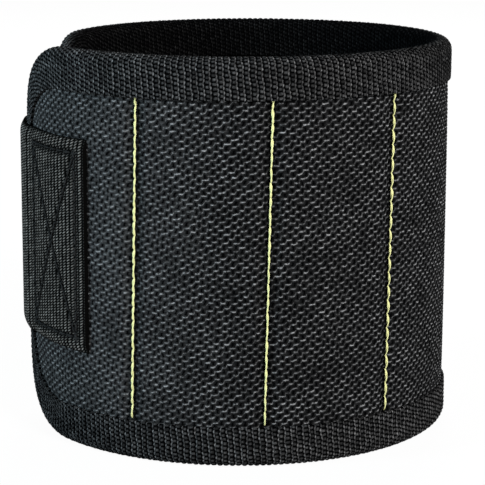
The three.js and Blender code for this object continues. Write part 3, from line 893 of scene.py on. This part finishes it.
def flat_noise(nodes, scale, detail=2.0, stretch=EVEN):
    """Noise over the flat piece, which stays with the cloth as it bends."""
    place = {"Vector": marked_vector(nodes, "place"), "Scale": stretch}
    return noise(nodes, nodes.node("ShaderNodeMapping", place), scale, detail)


def object_noise(nodes, scale, detail):
    return noise(nodes, nodes.node("ShaderNodeTexCoord", out="Object"), scale, detail)


def bumped(nodes, height, depth):
    return nodes.node("ShaderNodeBump", {"Height": height, "Distance": depth * MM, "Strength": 1.0})


# Yarn in all woven pieces: how it wanders, and its grain, dye and streaks
WANDER_SCALE = 0.45
GRAIN_SCALE = 1.7
GRAIN_LOW = 0.36
GRAIN_SPAN = 0.26
DYE_SCALE = 0.12
DYE_DETAIL = 3.0
STREAK_SCALE = 6.0
STREAK_STRETCH = (0.25, 1.6, 1.0)
STREAK_DEPTH = 0.05
TONE_LEAST = 0.4
YARN_BLACK = (0.0006, 0.0006, 0.0007)


def yarn_counts(nodes, waviness):
    """Counts of yarns along and across, which wander a little, as real yarns do."""
    u, v, _ = vector_parts(nodes, marked_vector(nodes, "yarn"))
    wander = flat_noise(nodes, WANDER_SCALE)
    apart = flat_noise(nodes, WANDER_SCALE, detail=0.0)
    return u + waviness * (apart - 0.5), v + waviness * (wander - 0.5)


def yarn_grain(nodes):
    """Fibre that catches the light in specks, from none to full."""
    return ((flat_noise(nodes, GRAIN_SCALE, detail=0.0) - GRAIN_LOW) / GRAIN_SPAN).held()


def yarn_colour(nodes, pale, valley, crest):
    """Yarn cloth: black between the yarns, with painted highlights along their crests and uneven dye."""
    dye = flat_noise(nodes, DYE_SCALE, DYE_DETAIL)
    streak = flat_noise(nodes, STREAK_SCALE, stretch=STREAK_STRETCH)
    return {
        "Base Color": (pale * (0.5 + dye)).least(1.0).mixed(valley, crest),
        "Normal": bumped(nodes, streak, STREAK_DEPTH),
    }


# Painted highlights on the coarse cloth: places in yarns, and the painted haze of light towards the outer
# end in millimetres along the band
WEAVE_WAVINESS = 1.0
WEAVE_SEED = 3
# Painted highlights: a thin dash along the upper part of each weft float, as if lit from above, and a
# fainter link up to the next
DASH_LEVEL = 0.55
DASH_CURL = 0.3
DASH_SLANT = 0.12
DASH_HALF = 0.2
DASH_REACH = 0.3
LINK_SHARE = 0.4
LINK_SLANT = 0.25
LINK_HALF = 0.12
LINK_REACH = 0.6
HIGHLIGHT_GRAIN_LEAST = 0.2
HIGHLIGHT_HAZE_LOSS = 0.35
BODY_GAIN = 1.7
BODY_HALF = 0.7
BODY_REACH = 0.95
BODY_SHARE = 0.045
BODY_GRAIN_LEAST = 0.5
# Painted haze of light towards the outer end: paler yarn bodies and weaker highlights
PAINTED_HAZE_SHARE = 0.11
PAINTED_HAZE_FROM = 74.0
PAINTED_HAZE_OVER = 30.0
# Strength of the painted shade in the sewn valleys
SEAM_PAINTED_SHADE = 0.75
# Colour of the cloth at full paleness, which is mostly painted highlight
WEAVE_CREST = (0.22, 0.223, 0.227)


def weave_look(nodes):
    """Coarse cloth: a thin painted highlight along the upper part of each weft float and a fainter one
    linking up to the next.
    Painted light makes the floats paler all over towards the outer end, and painted shade darkens them in
    the sewn valleys."""
    u, v = yarn_counts(nodes, WEAVE_WAVINESS)
    along, _, _ = vector_parts(nodes, marked_vector(nodes, "place"))
    row, weft_end = weft_float(u, v)
    middle = DASH_LEVEL + DASH_SLANT * weft_end + DASH_CURL * weft_end.square()
    dash = hump(v - row - middle, DASH_HALF) * hump(weft_end.square(), DASH_REACH)
    edge = (u + 0.5).floor()
    climb = (v - DASH_LEVEL - edge + 1.0) % 2.0 - 0.5
    link = hump(u - edge - LINK_SLANT * climb, LINK_HALF) * hump(climb, LINK_REACH)
    tone = lifted(float_tone(nodes, u, row, WEAVE_SEED), TONE_LEAST)
    grain = yarn_grain(nodes)
    # Share of the painted haze of light towards the outer end
    painted_haze = ((PAINTED_HAZE_FROM - along) / PAINTED_HAZE_OVER).held()
    # Painted highlight on each float
    highlight = dash.most(LINK_SHARE * link) * tone * lifted(grain, HIGHLIGHT_GRAIN_LEAST)
    body = (BODY_GAIN * hump(from_middle(v), BODY_HALF) * hump(weft_end, BODY_REACH)).least(1.0)
    body = body * (BODY_SHARE + PAINTED_HAZE_SHARE * painted_haze) * lifted(grain, BODY_GRAIN_LEAST)
    pale = highlight * (1 - HIGHLIGHT_HAZE_LOSS * painted_haze) + body
    # Painted shade in the sewn valleys
    pale = pale * (1 - SEAM_PAINTED_SHADE * mark(nodes, "press"))
    return yarn_colour(nodes, pale, YARN_BLACK, WEAVE_CREST)


# Painted highlights on the tape: places in ribs and beads, and the fade of painted shade to its inner side
# in millimetres
TAPE_WAVINESS = 0.45
TAPE_SEED = 5
# Painted highlights: a wavy line down one side of each rib, and faint beads
LINE_PLACE = 0.32
LINE_SWAY = 0.04
LINE_HALF = 0.14
LINE_LEVEL = 0.6
LINE_RIPPLE = 0.4
BEAD_SHARE = 0.4
BEAD_SHIFT = 0.08
BEAD_HALF = 0.32
BEAD_REACH = 0.36
TAPE_GRAIN_LEAST = 0.4
# Painted shade on the part of the tape inside the ring
FAR_SIDE_PAINTED_SHADE = 0.88
FAR_SIDE_FADE = 2.0
# Colour at full painted highlight
TAPE_CREST = (0.158, 0.158, 0.159)


def tape_look(nodes):
    """Ribbed tape: dark beads with faint painted highlights, and a thin painted highlight in a wavy line
    down one side of each rib.
    The part on the inside of the ring is darkened with painted shade."""
    rib, x, step = rib_cells(*yarn_counts(nodes, TAPE_WAVINESS))
    _, across, _ = vector_parts(nodes, marked_vector(nodes, "place"))
    wave = (step * (2 * math.pi)).sine()
    line = hump(x - LINE_PLACE - LINE_SWAY * wave, LINE_HALF) * (LINE_LEVEL + LINE_RIPPLE * wave)
    bead = hump(x + BEAD_SHIFT, BEAD_HALF) * hump(from_middle(step), BEAD_REACH)
    tone = lifted(cell_noise(nodes, rib, step.floor(), TAPE_SEED), TONE_LEAST)
    pale = line.most(BEAD_SHARE * bead) * tone * lifted(yarn_grain(nodes), TAPE_GRAIN_LEAST)
    # Painted shade on the inner side of the tape
    inside = ((across - TAPE_WIDTH / 2) / FAR_SIDE_FADE + 0.5).held()
    return yarn_colour(nodes, pale * (1 - FAR_SIDE_PAINTED_SHADE * inside), YARN_BLACK, TAPE_CREST)


# Painted highlights on the webbing: places in ribs and segments
WEBBING_WAVINESS = 0.25
WEBBING_SEED = 21
SEGMENT_HALF = 0.3
SEGMENT_REACH = 0.37
WEBBING_VALLEY = (0.002, 0.002, 0.0019)
# Colour at full painted highlight
WEBBING_CREST = (0.205, 0.188, 0.172)


def webbing_look(nodes):
    """Strap webbing: painted highlights on short slanted segments in narrow ribs, with painted shade in the
    box-stitch grooves and a painted shadow along the edges.
    """
    rib, x, step = rib_cells(*yarn_counts(nodes, WEBBING_WAVINESS), WEBBING_SLANT)
    segment = hump(from_middle(step), SEGMENT_HALF) * hump(x, SEGMENT_REACH)
    tone = lifted(cell_noise(nodes, rib, step.floor(), WEBBING_SEED), TONE_LEAST)
    # Painted highlights on the segments, less where painted shade lies
    pale = segment * tone * (1 - mark(nodes, "press"))
    return yarn_colour(nodes, pale, WEBBING_VALLEY, WEBBING_CREST)


# Unevenness and colours of the other finishes
MESH_FUZZ_SCALE = 4.0
MESH_FUZZ_DEPTH = 0.1
MESH_FUZZ_LEAST = 0.4
MESH_RIM = 0.6
PILE_FUZZ_SCALE = 0.9
PILE_FUZZ_LEAST = 0.3
MESH_VALLEY = (0.0016, 0.0016, 0.0016)
MESH_CREST = (0.026, 0.026, 0.026)
PILE_VALLEY = (0.003, 0.003, 0.003)
# Colour of the painted sheen at the tips of the loops
PILE_SHEEN = (0.075, 0.075, 0.077)
PLY_SCALE = 2.2
FINE_DETAIL = 3.0
FINEST_DETAIL = 4.0
NICKEL_SCALE = 900.0
NICKEL_ROUGHNESS = 0.2
NICKEL_UNEVENNESS = 0.15
NICKEL_DARK = (0.52, 0.51, 0.49)
NICKEL_LIGHT = (0.62, 0.61, 0.59)


def mesh_look(nodes):
    """Knitted lining: black holes in slightly paler fuzzy yarn."""
    fuzz = flat_noise(nodes, MESH_FUZZ_SCALE)
    u, v, _ = vector_parts(nodes, marked_vector(nodes, "yarn"))
    yarn = (hole_distance(u, v) / MESH_HOLE - MESH_RIM).held()
    return {
        "Base Color": (yarn * (MESH_FUZZ_LEAST + fuzz)).least(1.0).mixed(MESH_VALLEY, MESH_CREST),
        "Normal": bumped(nodes, fuzz, MESH_FUZZ_DEPTH),
    }


def pile_look(nodes):
    """Brushed loops: black at the base, with a painted sheen that makes them grey at the tips."""
    _, _, height = vector_parts(nodes, marked_vector(nodes, "place"))
    fuzz = flat_noise(nodes, PILE_FUZZ_SCALE, FINE_DETAIL)
    # Painted sheen towards the tips
    tip = (height / PILE_HEIGHT).held() * (PILE_FUZZ_LEAST + fuzz)
    return {"Base Color": tip.least(1.0).mixed(PILE_VALLEY, PILE_SHEEN)}


def thread_look(dark, light):
    """Thread with uneven dye."""
    return lambda nodes: {"Base Color": flat_noise(nodes, PLY_SCALE, FINE_DETAIL).mixed(dark, light)}


def plain_look(dark, light, scale, depth):
    """Matt or moulded surface with a fine uneven grain."""
    def look(nodes):
        grain = object_noise(nodes, scale, FINEST_DETAIL)
        return {"Base Color": grain.mixed(dark, light), "Normal": bumped(nodes, grain, depth)}
    return look


def nickel_look(nodes):
    grain = object_noise(nodes, NICKEL_SCALE, FINE_DETAIL)
    return {
        "Base Color": grain.mixed(NICKEL_DARK, NICKEL_LIGHT),
        "Roughness": NICKEL_ROUGHNESS + NICKEL_UNEVENNESS * grain,
    }


hook_look = plain_look((0.006, 0.006, 0.007), (0.016, 0.016, 0.017), scale=1500.0, depth=0.05)
foam_look = plain_look((0.03, 0.03, 0.031), (0.09, 0.09, 0.092), scale=1800.0, depth=0.3)
yellow_look = thread_look((0.42, 0.42, 0.16), (0.78, 0.78, 0.41))
black_look = thread_look((0.006, 0.006, 0.006), (0.03, 0.03, 0.03))
shell_finish = finish("coarse_nylon", weave_look, {"Roughness": 0.5})
tape_finish = finish("ribbed_binding", tape_look, {"Roughness": 0.5})
webbing_finish = finish("strap_webbing", webbing_look, {"Roughness": 0.5})
lining_finish = finish("mesh_lining", mesh_look, {"Roughness": 0.9})
yellow_finish = finish("yellow_thread", yellow_look, {"Roughness": 0.45})
black_finish = finish("black_thread", black_look, {"Roughness": 0.5})
loop_finish = finish("loop_pile", pile_look, {"Roughness": 0.85})
hook_finish = finish("hook_tape", hook_look, {"Roughness": 0.4})
foam_finish = finish("foam_pad", foam_look, {"Roughness": 0.95})
magnet_finish = finish("nickel_plate", nickel_look, {"Specular IOR Level": METAL_SHINE, "Metallic": 1.0})

weave_tree = geometry_tree("plain_weave", {
    "Warp Pitch": WARP_PITCH, "Weft Pitch": WEFT_PITCH, "Weft Float": 0.8, "Warp Float": 0.62,
    "Warp Share": 0.82, "Least Float": 0.86, "Lean": WEAVE_LEAN, "Tilt": WEAVE_TILT,
    "Middle": BAND_HEIGHT / 2, "Crown": WEAVE_CROWN, "Proud": WEAVE_PROUD, "Seed": WEAVE_SEED}, plain_weave)
rib_tree = geometry_tree("ribbed_cloth", {
    "Rib Pitch": RIB_PITCH, "Bead Pitch": BEAD_PITCH, "Lean": RIB_LEAN, "Slant": 0.0, "Dent": 0.6,
    "Least Bead": 0.88, "Crown": RIB_CROWN, "Width": TAPE_WIDTH, "Selvage": 0.6, "Selvage Level": 0.45,
    "Selvage Relief": 0.3, "Seed": TAPE_SEED}, ribbed_cloth)
mesh_tree = geometry_tree("mesh_knit", {
    "Pitch": MESH_PITCH, "Hole": MESH_HOLE, "Depth": MESH_HOLE_DEPTH}, mesh_knit)
thread_tree = geometry_tree("sewn_thread", {
    "Pitch": STITCH_STEP, "Length": 3.05, "Radius": 0.26, "Lift": 0.1, "Sink": 0.26, "Twist": 4.0,
    "Seed": 7}, sewn_thread)
pile_tree = geometry_tree("pile", {
    "Jitter": 0.35, "Turn": 3.0, "Bend": 0.3, "Rise": 0.55, "Stalk": 0.1, "Radius": 0.07, "Sides": 3,
    "Lean": 0.6, "Swing": 3.14, "Seed": 11}, pile)


# Pieces

def carried(piece, body, slot, *nodes):
    """Makes a piece ride on one body and hides the nodes that it stands for. The slot is not used."""
    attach(piece, body)
    if nodes:
        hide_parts(*nodes)


def bending(piece, first, second, ends, slot, *nodes):
    """Bakes a piece's place into its mesh and hides the nodes that it stands for; it does not make the
    piece bend, and first, second, ends and slot are not used.
    """
    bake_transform(piece)
    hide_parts(*nodes)


def follow(piece, index, slot, *nodes):
    """Hands a piece of panel index to bending at its sewn line, which doesn't make it bend, or makes it
    ride on the back.
    """
    if index == FOLDING_SEAMS:
        carried(piece, BODIES[-1], slot, *nodes)
    else:
        around = seams[index] + np.array([-SEAM_DIP_REACH, SEAM_DIP_REACH])
        ends = wrapped(around, np.full(2, BAND_HEIGHT / 2), 0.0)
        bending(piece, BODIES[index], BODIES[index + 1], ends, slot, *nodes)


def sheet_of(width, length):
    length * MM


def span(index):
    """Start and end along the band of the cloth that bends at one sewn line, and of the rest."""
    start = EDGE_INSET if index == 0 else cuts[index - 1]
    end = cuts[index] if index < FOLDING_SEAMS else BAND_LENGTH - EDGE_INSET
    return start, end


def cloth_rows(step, anchor):
    """Heights of the cloth's rows: fine where it shows, and coarse under the tape."""
    hidden = np.arange(EDGE_INSET, UNDER_TAPE, HIDDEN_STEP)
    shown = stations(UNDER_TAPE, BAND_HEIGHT - UNDER_TAPE, step, anchor)
    return np.concatenate([hidden, shown, BAND_HEIGHT - hidden[::-1]])


def skewed(lean, tilt, middle):
    """Moves grid points along a weave that leans and tilts, except at the ends and edges."""
    def skew(x, y):
        from_end = np.minimum(x, BAND_LENGTH - x) - EDGE_INSET
        from_edge = np.minimum(y, BAND_HEIGHT - y)
        sway = lean * (y - BAND_HEIGHT / 2) * smooth(from_end, 0, WEAVE_LEAN_FADE)
        drop = tilt * (x - middle) * smooth(from_edge, EDGE_INSET, UNDER_TAPE)
        return x + sway, y - drop
    return skew


def seam_painted_shade(flat):
    """Share of painted shade in the sewn valleys."""
    along, height, _ = flat.T
    return np.exp(-((seam_distance(along, height) / SEAM_SHADE_REACH) ** 2))


def make_cloth(kind, tree, material, steps, depth, place, back_parts=1, lean=0.0, tilt=0.0):
    """One layer of the band, a sheet for each panel. A back of many faces is cut in parts."""
    step, row_step = steps
    for index, panel in enumerate(PANELS):
        start, end = span(index)
        parts = back_parts if index == FOLDING_SEAMS else 1
        edges = start + (end - start) * np.arange(parts + 1) / parts
        edges[1:-1] = step * np.round(edges[1:-1] / step)
        for part in range(parts):
            columns = stations(edges[part], edges[part + 1], step)
            middle = (edges[part] + edges[part + 1]) / 2
            rows = cloth_rows(row_step, -tilt * middle)
            name = f"{kind}_cloth_{panel}" if parts == 1 else f"{kind}_cloth_{panel}_{part + 1}"
            mesh = closed_sheet(name, columns, rows, depth, few_rows(rows), skew=skewed(lean, tilt, middle))
            # The mark carries the painted shade in the sewn valleys
            piece = grown(name, mesh, tree, {}, material, place, {"press": seam_painted_shade})
            follow(piece, index, kind, f"{kind}_{panel}")
            sheet_of(np.ptp(rows), np.ptp(columns))


def make_shell():
    steps = (WARP_PITCH / SAMPLES, WEFT_PITCH / SAMPLES)
    make_cloth("outer_shell", weave_tree, shell_finish, steps, SHELL_THICKNESS, shell_place,
               back_parts=2, lean=WEAVE_LEAN, tilt=WEAVE_TILT)


def make_lining():
    steps = (MESH_STEP, MESH_STEP)
    make_cloth("lining", mesh_tree, lining_finish, steps, LINING_THICKNESS, lining_place)


def make_binding():
    """Tape round the whole outline, cut where the cloth is."""
    rows = stations(0.0, TAPE_WIDTH, BEAD_PITCH / SAMPLES)
    from_top = [TOP_START + cut for cut in cuts]
    middle = outline.length / 2
    tail = from_top[-1]
    runs = [(-from_top[0], from_top[0], 0, "end")]
    for index in range(1, FOLDING_SEAMS):
        low, high = from_top[index - 1], from_top[index]
        runs.append((low, high, index, f"top_pocket_{index}"))
        runs.append((-high, -low, index, f"bottom_pocket_{index}"))
    runs.append((tail, middle, FOLDING_SEAMS, "back"))
    runs.append((middle, outline.length - tail, FOLDING_SEAMS, "back"))
    for number, (start, end, index, run_name) in enumerate(runs):
        name = f"binding_tape_{run_name}" + ("_lower" if start == middle else "")
        columns = stations(start, end, RIB_PITCH / SAMPLES)
        mesh = closed_sheet(name, columns, rows, TAPE_THICKNESS, few_rows(rows))
        piece = grown(name, mesh, rib_tree, {"Seed": number}, tape_finish, tape_place)
        follow(piece, index, "binding_tape", f"edge_binding_{run_name}")
        under = PANELS[index] if index < FOLDING_SEAMS else "back_1"
        sheet_of(TAPE_WIDTH, end - start)


def make_stitches():
    """Yellow stitches in the sewn valleys."""
    for number, seam in enumerate(seams):
        line = ((seam, STITCH_LOW + STITCH_STEP / 2), (seam, BAND_HEIGHT - STITCH_LOW))
        name = f"yellow_stitches_{number + 1}"
        mesh = edge_lines(name, [line])
        piece = grown(name, mesh, thread_tree, {"Seed": number}, yellow_finish, stitch_place)
        follow(piece, min(number, FOLDING_SEAMS), "yellow_thread", f"stitch_row_{number + 1}")


# Box stitch of the strap, by length along it from its root
BOX_LEFT = -BOX_ROOT_MARGIN
BOX_RIGHT = BOX_MARGIN - STRAP_SEWN_LENGTH
BOX_LOW = STRAP_LOW + BOX_MARGIN
BOX_HIGH = STRAP_HIGH - BOX_MARGIN
box_lines = [
    ((BOX_LEFT, BOX_LOW), (BOX_LEFT, BOX_HIGH)),
    ((BOX_RIGHT, BOX_LOW), (BOX_RIGHT, BOX_HIGH)),
    ((BOX_LEFT, BOX_LOW), (BOX_RIGHT, BOX_LOW)),
    ((BOX_LEFT, BOX_HIGH), (BOX_RIGHT, BOX_HIGH)),
    ((BOX_LEFT, BOX_LOW), (BOX_RIGHT, BOX_HIGH)),
    ((BOX_LEFT, BOX_HIGH), (BOX_RIGHT, BOX_LOW)),
]


def line_distance(x, y, line):
    (x0, y0), (x1, y1) = line
    way = np.array([x1 - x0, y1 - y0])
    share = np.clip(((x - x0) * way[0] + (y - y0) * way[1]) / (way @ way), 0, 1)
    return np.hypot(x - x0 - share * way[0], y - y0 - share * way[1])


def box_groove(length, height):
    """Share of the groove that the box stitch presses into the webbing."""
    near = np.min([line_distance(length, height, line) for line in box_lines], axis=0)
    return np.exp(-((near / BOX_GROOVE_REACH) ** 2))


def box_painted_shade(flat):
    """Share of painted shade: in the groove of the box stitch, and a painted shadow along the strap's edges
    and ends.
    """
    length, across, _ = flat.T
    from_end = np.minimum(length + STRAP_SEWN_LENGTH, STRAP_TIP - length)
    from_edge = np.min([across, STRAP_WIDTH - across, from_end], axis=0)
    # Painted shadow along the strap's edges and ends
    edge_shadow = 1 - smooth(from_edge, 0, STRAP_EDGE_PAINTED_SHADE)
    return np.maximum(box_groove(length, across + STRAP_LOW), edge_shadow)


def tip_cut(length):
    """How far the rounded tip of the strap cuts in from its long edges."""
    reach = np.clip(STRAP_TIP_RADIUS - (STRAP_TIP - length), 0, STRAP_TIP_RADIUS)
    return STRAP_TIP_RADIUS - np.sqrt(np.maximum(STRAP_TIP_RADIUS**2 - reach**2, 0))


def webbing_place(flat):
    length, across, out = flat.T
    half = STRAP_WIDTH / 2
    height = STRAP_LEVEL + (across - half) * (half - tip_cut(length)) / half
    from_edge = half - tip_cut(length) - np.abs(height - STRAP_LEVEL)
    edge_drop = STRAP_EDGE_DROP * np.maximum(0, 1 - from_edge / STRAP_EDGE_REACH) ** 2
    drop = BOX_GROOVE_DEPTH * box_groove(length, height) + edge_drop
    on_front = out > -STRAP_THICKNESS / 2
    return strap_place(length, height, out + STRAP_THICKNESS - np.where(on_front, drop, 0))


def box_place(flat):
    length, height, out = flat.T
    return strap_place(length, height, out + STRAP_THICKNESS - BOX_GROOVE_DEPTH + BOX_THREAD_BED)


def make_strap():
    columns = stations(-STRAP_SEWN_LENGTH, STRAP_TIP, WEBBING_PITCH / SAMPLES)
    rows = stations(0.0, STRAP_WIDTH, WEBBING_SEGMENT / WEBBING_SAMPLES)
    back_rows = np.unique(np.append(np.arange(0, rows.size, STRAP_BACK_EVERY), rows.size - 1))
    mesh = closed_sheet("strap", columns, rows, STRAP_THICKNESS, back_rows,
                        back_side=-1.0, back_map=STRAP_BACK_MAP)
    sizes = {"Rib Pitch": WEBBING_PITCH, "Bead Pitch": WEBBING_SEGMENT, "Slant": WEBBING_SLANT,
             "Dent": 0.5, "Lean": 0.0, "Crown": WEBBING_CROWN, "Width": STRAP_WIDTH, "Selvage": 0.5,
             "Seed": WEBBING_SEED}
    # Painted shade in the box-stitch grooves and a painted shadow along the edges
    marks = {"press": box_painted_shade}
    strap = grown("strap_webbing", mesh, rib_tree, sizes, webbing_finish, webbing_place, marks)
    root = wrapped(STRAP_ROOT + np.array(STRAP_PEEL_SPAN), np.full(2, STRAP_LEVEL), STRAP_PEEL_OUT)
    bending(strap, "outer_end", "strap", root, "webbing", "strap_sewn_end", "strap_free")
    sheet_of(STRAP_WIDTH, np.ptp(columns))

    mesh = edge_lines("box", box_lines)
    sizes = {"Pitch": 2.4, "Length": 2.2, "Radius": 0.26, "Lift": 0.05, "Sink": 0.3, "Twist": 6.0}
    box = grown("box_stitches", mesh, thread_tree, sizes, black_finish, box_place)
    carried(box, "outer_end", "black_thread", "box_stitch")


def hook_place(flat):
    length, height, out = flat.T
    return strap_place(length, height, -LAYER_GAP - HOOK_BASE - out)


def loop_place(flat):
    along, height, out = flat.T
    return wrapped(along, height, out + LAYER_GAP + LOOP_BASE)


def make_closure(node, strands, body, grid, depth, every, sizes, strand_sizes, material, place):
    """One side of the closure: a woven base without selvage, and strands on it, every few grid points."""
    columns, rows = grid
    inner = slice(STRAND_MARGIN, -STRAND_MARGIN)
    no_selvage = {"Width": 1000.0, "Selvage": 0.1}
    mesh = closed_sheet(node, columns, rows, depth, np.array([0, rows.size - 1]))
    base = grown(f"{node}_base", mesh, rib_tree, {**sizes, **no_selvage}, material, place)
    spots = point_field(strands, columns[inner][::every[0]], rows[inner][::every[1]])
    strand_piece = grown(strands, spots, pile_tree, strand_sizes, material, place)
    carried(base, body, node, node)
    carried(strand_piece, body, node)
    sheet_of(np.ptp(rows), np.ptp(columns))


def make_hook_tape():
    end = STRAP_TIP - HOOK_TIP_MARGIN
    columns = np.linspace(end - HOOK_LENGTH, end, HOOK_GRID[0])
    rows = np.linspace(STRAP_LEVEL - HOOK_WIDTH / 2, STRAP_LEVEL + HOOK_WIDTH / 2, HOOK_GRID[1])
    sizes = {"Rib Pitch": 1.4, "Bead Pitch": 1.4, "Slant": 0.0, "Dent": 0.4, "Crown": 0.12}
    hooks = {"Jitter": 0.0, "Turn": 3.6, "Bend": 0.2, "Rise": 0.18, "Stalk": 0.32, "Radius": 0.075,
             "Sides": 4, "Lean": 0.08, "Swing": 0.2, "Seed": 2}
    make_closure("hook_tape", "hooks", "strap", (columns, rows), HOOK_BASE, HOOK_EVERY,
                 sizes, hooks, hook_finish, hook_place)


def make_loop_panel():
    end = BAND_LENGTH - LOOP_TAIL_MARGIN
    columns = np.linspace(end - LOOP_LENGTH, end, LOOP_GRID[0])
    rows = np.linspace(LOOP_LOW, BAND_HEIGHT - LOOP_LOW, LOOP_GRID[1])
    sizes = {"Rib Pitch": 1.2, "Bead Pitch": 1.2, "Slant": 0.3, "Dent": 0.5, "Crown": 0.15}
    make_closure("loop_panel", "loop_pile", "back", (columns, rows), LOOP_BASE,
                 LOOP_EVERY, sizes, {"Seed": 9}, loop_finish, loop_place)


def make_foam():
    """Soft pads with round edges and a window for each magnet, from the solids' outlines."""
    for panel, body in zip(PANELS, BODIES):
        mesh = frame["nodes"][f"foam_pad_{panel}"].data.copy()
        pad = bmesh.new()
        pad.from_mesh(mesh)
        bmesh.ops.remove_doubles(pad, verts=pad.verts, dist=FOAM_MERGE * MM)
        pad.to_mesh(mesh)
        pad.free()
        piece = placed(f"foam_cushion_{panel}", mesh)
        remesh = piece.modifiers.new("remesh", "REMESH")
        remesh.mode = "VOXEL"
        remesh.voxel_size = FOAM_VOXEL * MM
        remesh.use_smooth_shade = True
        piece.modifiers.new("soften", "SMOOTH").iterations = FOAM_SMOOTHING
        made = made_plain(piece)
        made.materials.clear()
        made.materials.append(foam_finish)
        carried(piece, body, "foam", f"foam_pad_{panel}")


def dress_magnets():
    for name, node in frame["nodes"].items():
        if name.startswith("magnet"):
            node.data.materials.clear()
            node.data.materials.append(magnet_finish)


# Camera, light and floor: the camera's place in millimetres, and the rest in the units that Blender uses

CAMERA_PLACE = (1.859, -467.773, 136.780)
CAMERA_PITCH = math.radians(11.587)
CAMERA_ROLL = 0.0026
CAMERA_LENS = 149.477
CAMERA_SENSOR = 36.0
CAMERA_NEAREST = 0.01
FLOOR_SIZE = 6.0
FLOOR_GREY = (0.7, 0.7, 0.7, 1.0)
FLOOR_WHITE_SHARE = 0.96
SKY_STRENGTH = 0.25
SKY_WHITE_SHARE = 1.0

# Place in metres, size in metres, power in watts and colour of each lamp
LAMPS = {
    "key": ((-0.95, -0.35, 0.45), 0.3, 12.0, (0.62, 0.87, 1.0)),
    "fill": ((0.55, -0.75, 0.55), 0.3, 14.0, (1.0, 0.98, 0.97)),
    "back": ((0.1, 0.9, 0.75), 0.4, 11.0, (1.0, 0.99, 0.97)),
}


def make_camera():
    data = bpy.data.cameras.new("camera")
    data.lens = CAMERA_LENS
    data.sensor_width = CAMERA_SENSOR
    data.clip_start = CAMERA_NEAREST
    camera = placed("camera", data)
    turn = Matrix.Rotation(QUARTER - CAMERA_PITCH, 4, "X") @ Matrix.Rotation(CAMERA_ROLL, 4, "Z")
    camera.matrix_world = Matrix.Translation(Vector(CAMERA_PLACE) * MM) @ turn
    bpy.context.scene.camera = camera


def make_lamps():
    target = Vector((0.0, 0.0, BAND_HEIGHT / 2 * MM))
    for name, (place, size, power, colour) in LAMPS.items():
        data = bpy.data.lights.new(name, "AREA")
        data.size = size
        data.energy = power
        data.color = colour
        turn = (Vector(place) - target).to_track_quat("Z", "Y").to_matrix().to_4x4()
        placed(name, data).matrix_world = Matrix.Translation(place) @ turn


def show_white(nodes, output_kind, lit, white, share):
    """Sends a lit shader to the output, with a share of plain white for rays that meet it as background."""
    path = nodes.node("ShaderNodeLightPath", out="Is Camera Ray")
    direct = (path + path.beside("Is Glossy Ray") + path.beside("Is Transmission Ray")).least(1.0)
    both = nodes.node("ShaderNodeMixShader", {0: share * direct, 1: lit, 2: white})
    output = next(n for n in nodes.tree.nodes if n.type == output_kind)
    nodes.feed(output.inputs["Surface"], both)


def make_floor():
    """A pale floor that looks white, with only a trace of the shadow on it."""
    half = FLOOR_SIZE / 2
    corners = [(-half, -half, 0), (half, -half, 0), (half, half, 0), (-half, half, 0)]
    mesh = new_mesh("floor", corners, faces=[(0, 1, 2, 3)])
    material = bpy.data.materials.new("pale_floor")
    material.use_nodes = True
    nodes = Wire(material.node_tree)
    lit = nodes.node("ShaderNodeBsdfDiffuse", {"Color": FLOOR_GREY})
    white = nodes.node("ShaderNodeEmission", {"Strength": 1.0})
    show_white(nodes, "OUTPUT_MATERIAL", lit, white, FLOOR_WHITE_SHARE)
    mesh.materials.append(material)
    placed("floor", mesh)


def make_sky():
    """A soft white sky, which looks plain white behind the part."""
    world = bpy.data.worlds.new("studio")
    world.use_nodes = True
    nodes = Wire(world.node_tree)
    white = (1.0, 1.0, 1.0, 1.0)
    soft = nodes.node("ShaderNodeBackground", {"Color": white, "Strength": SKY_STRENGTH})
    plain = nodes.node("ShaderNodeBackground", {"Color": white, "Strength": 1.0})
    show_white(nodes, "OUTPUT_WORLD", soft, plain, SKY_WHITE_SHARE)
    bpy.context.scene.world = world


make_camera()
make_lamps()
make_floor()
make_sky()
bpy.context.scene.view_settings.view_transform = "Standard"

make_foam()
make_shell()
make_lining()
make_binding()
make_stitches()
make_strap()
make_hook_tape()
make_loop_panel()
dress_magnets()
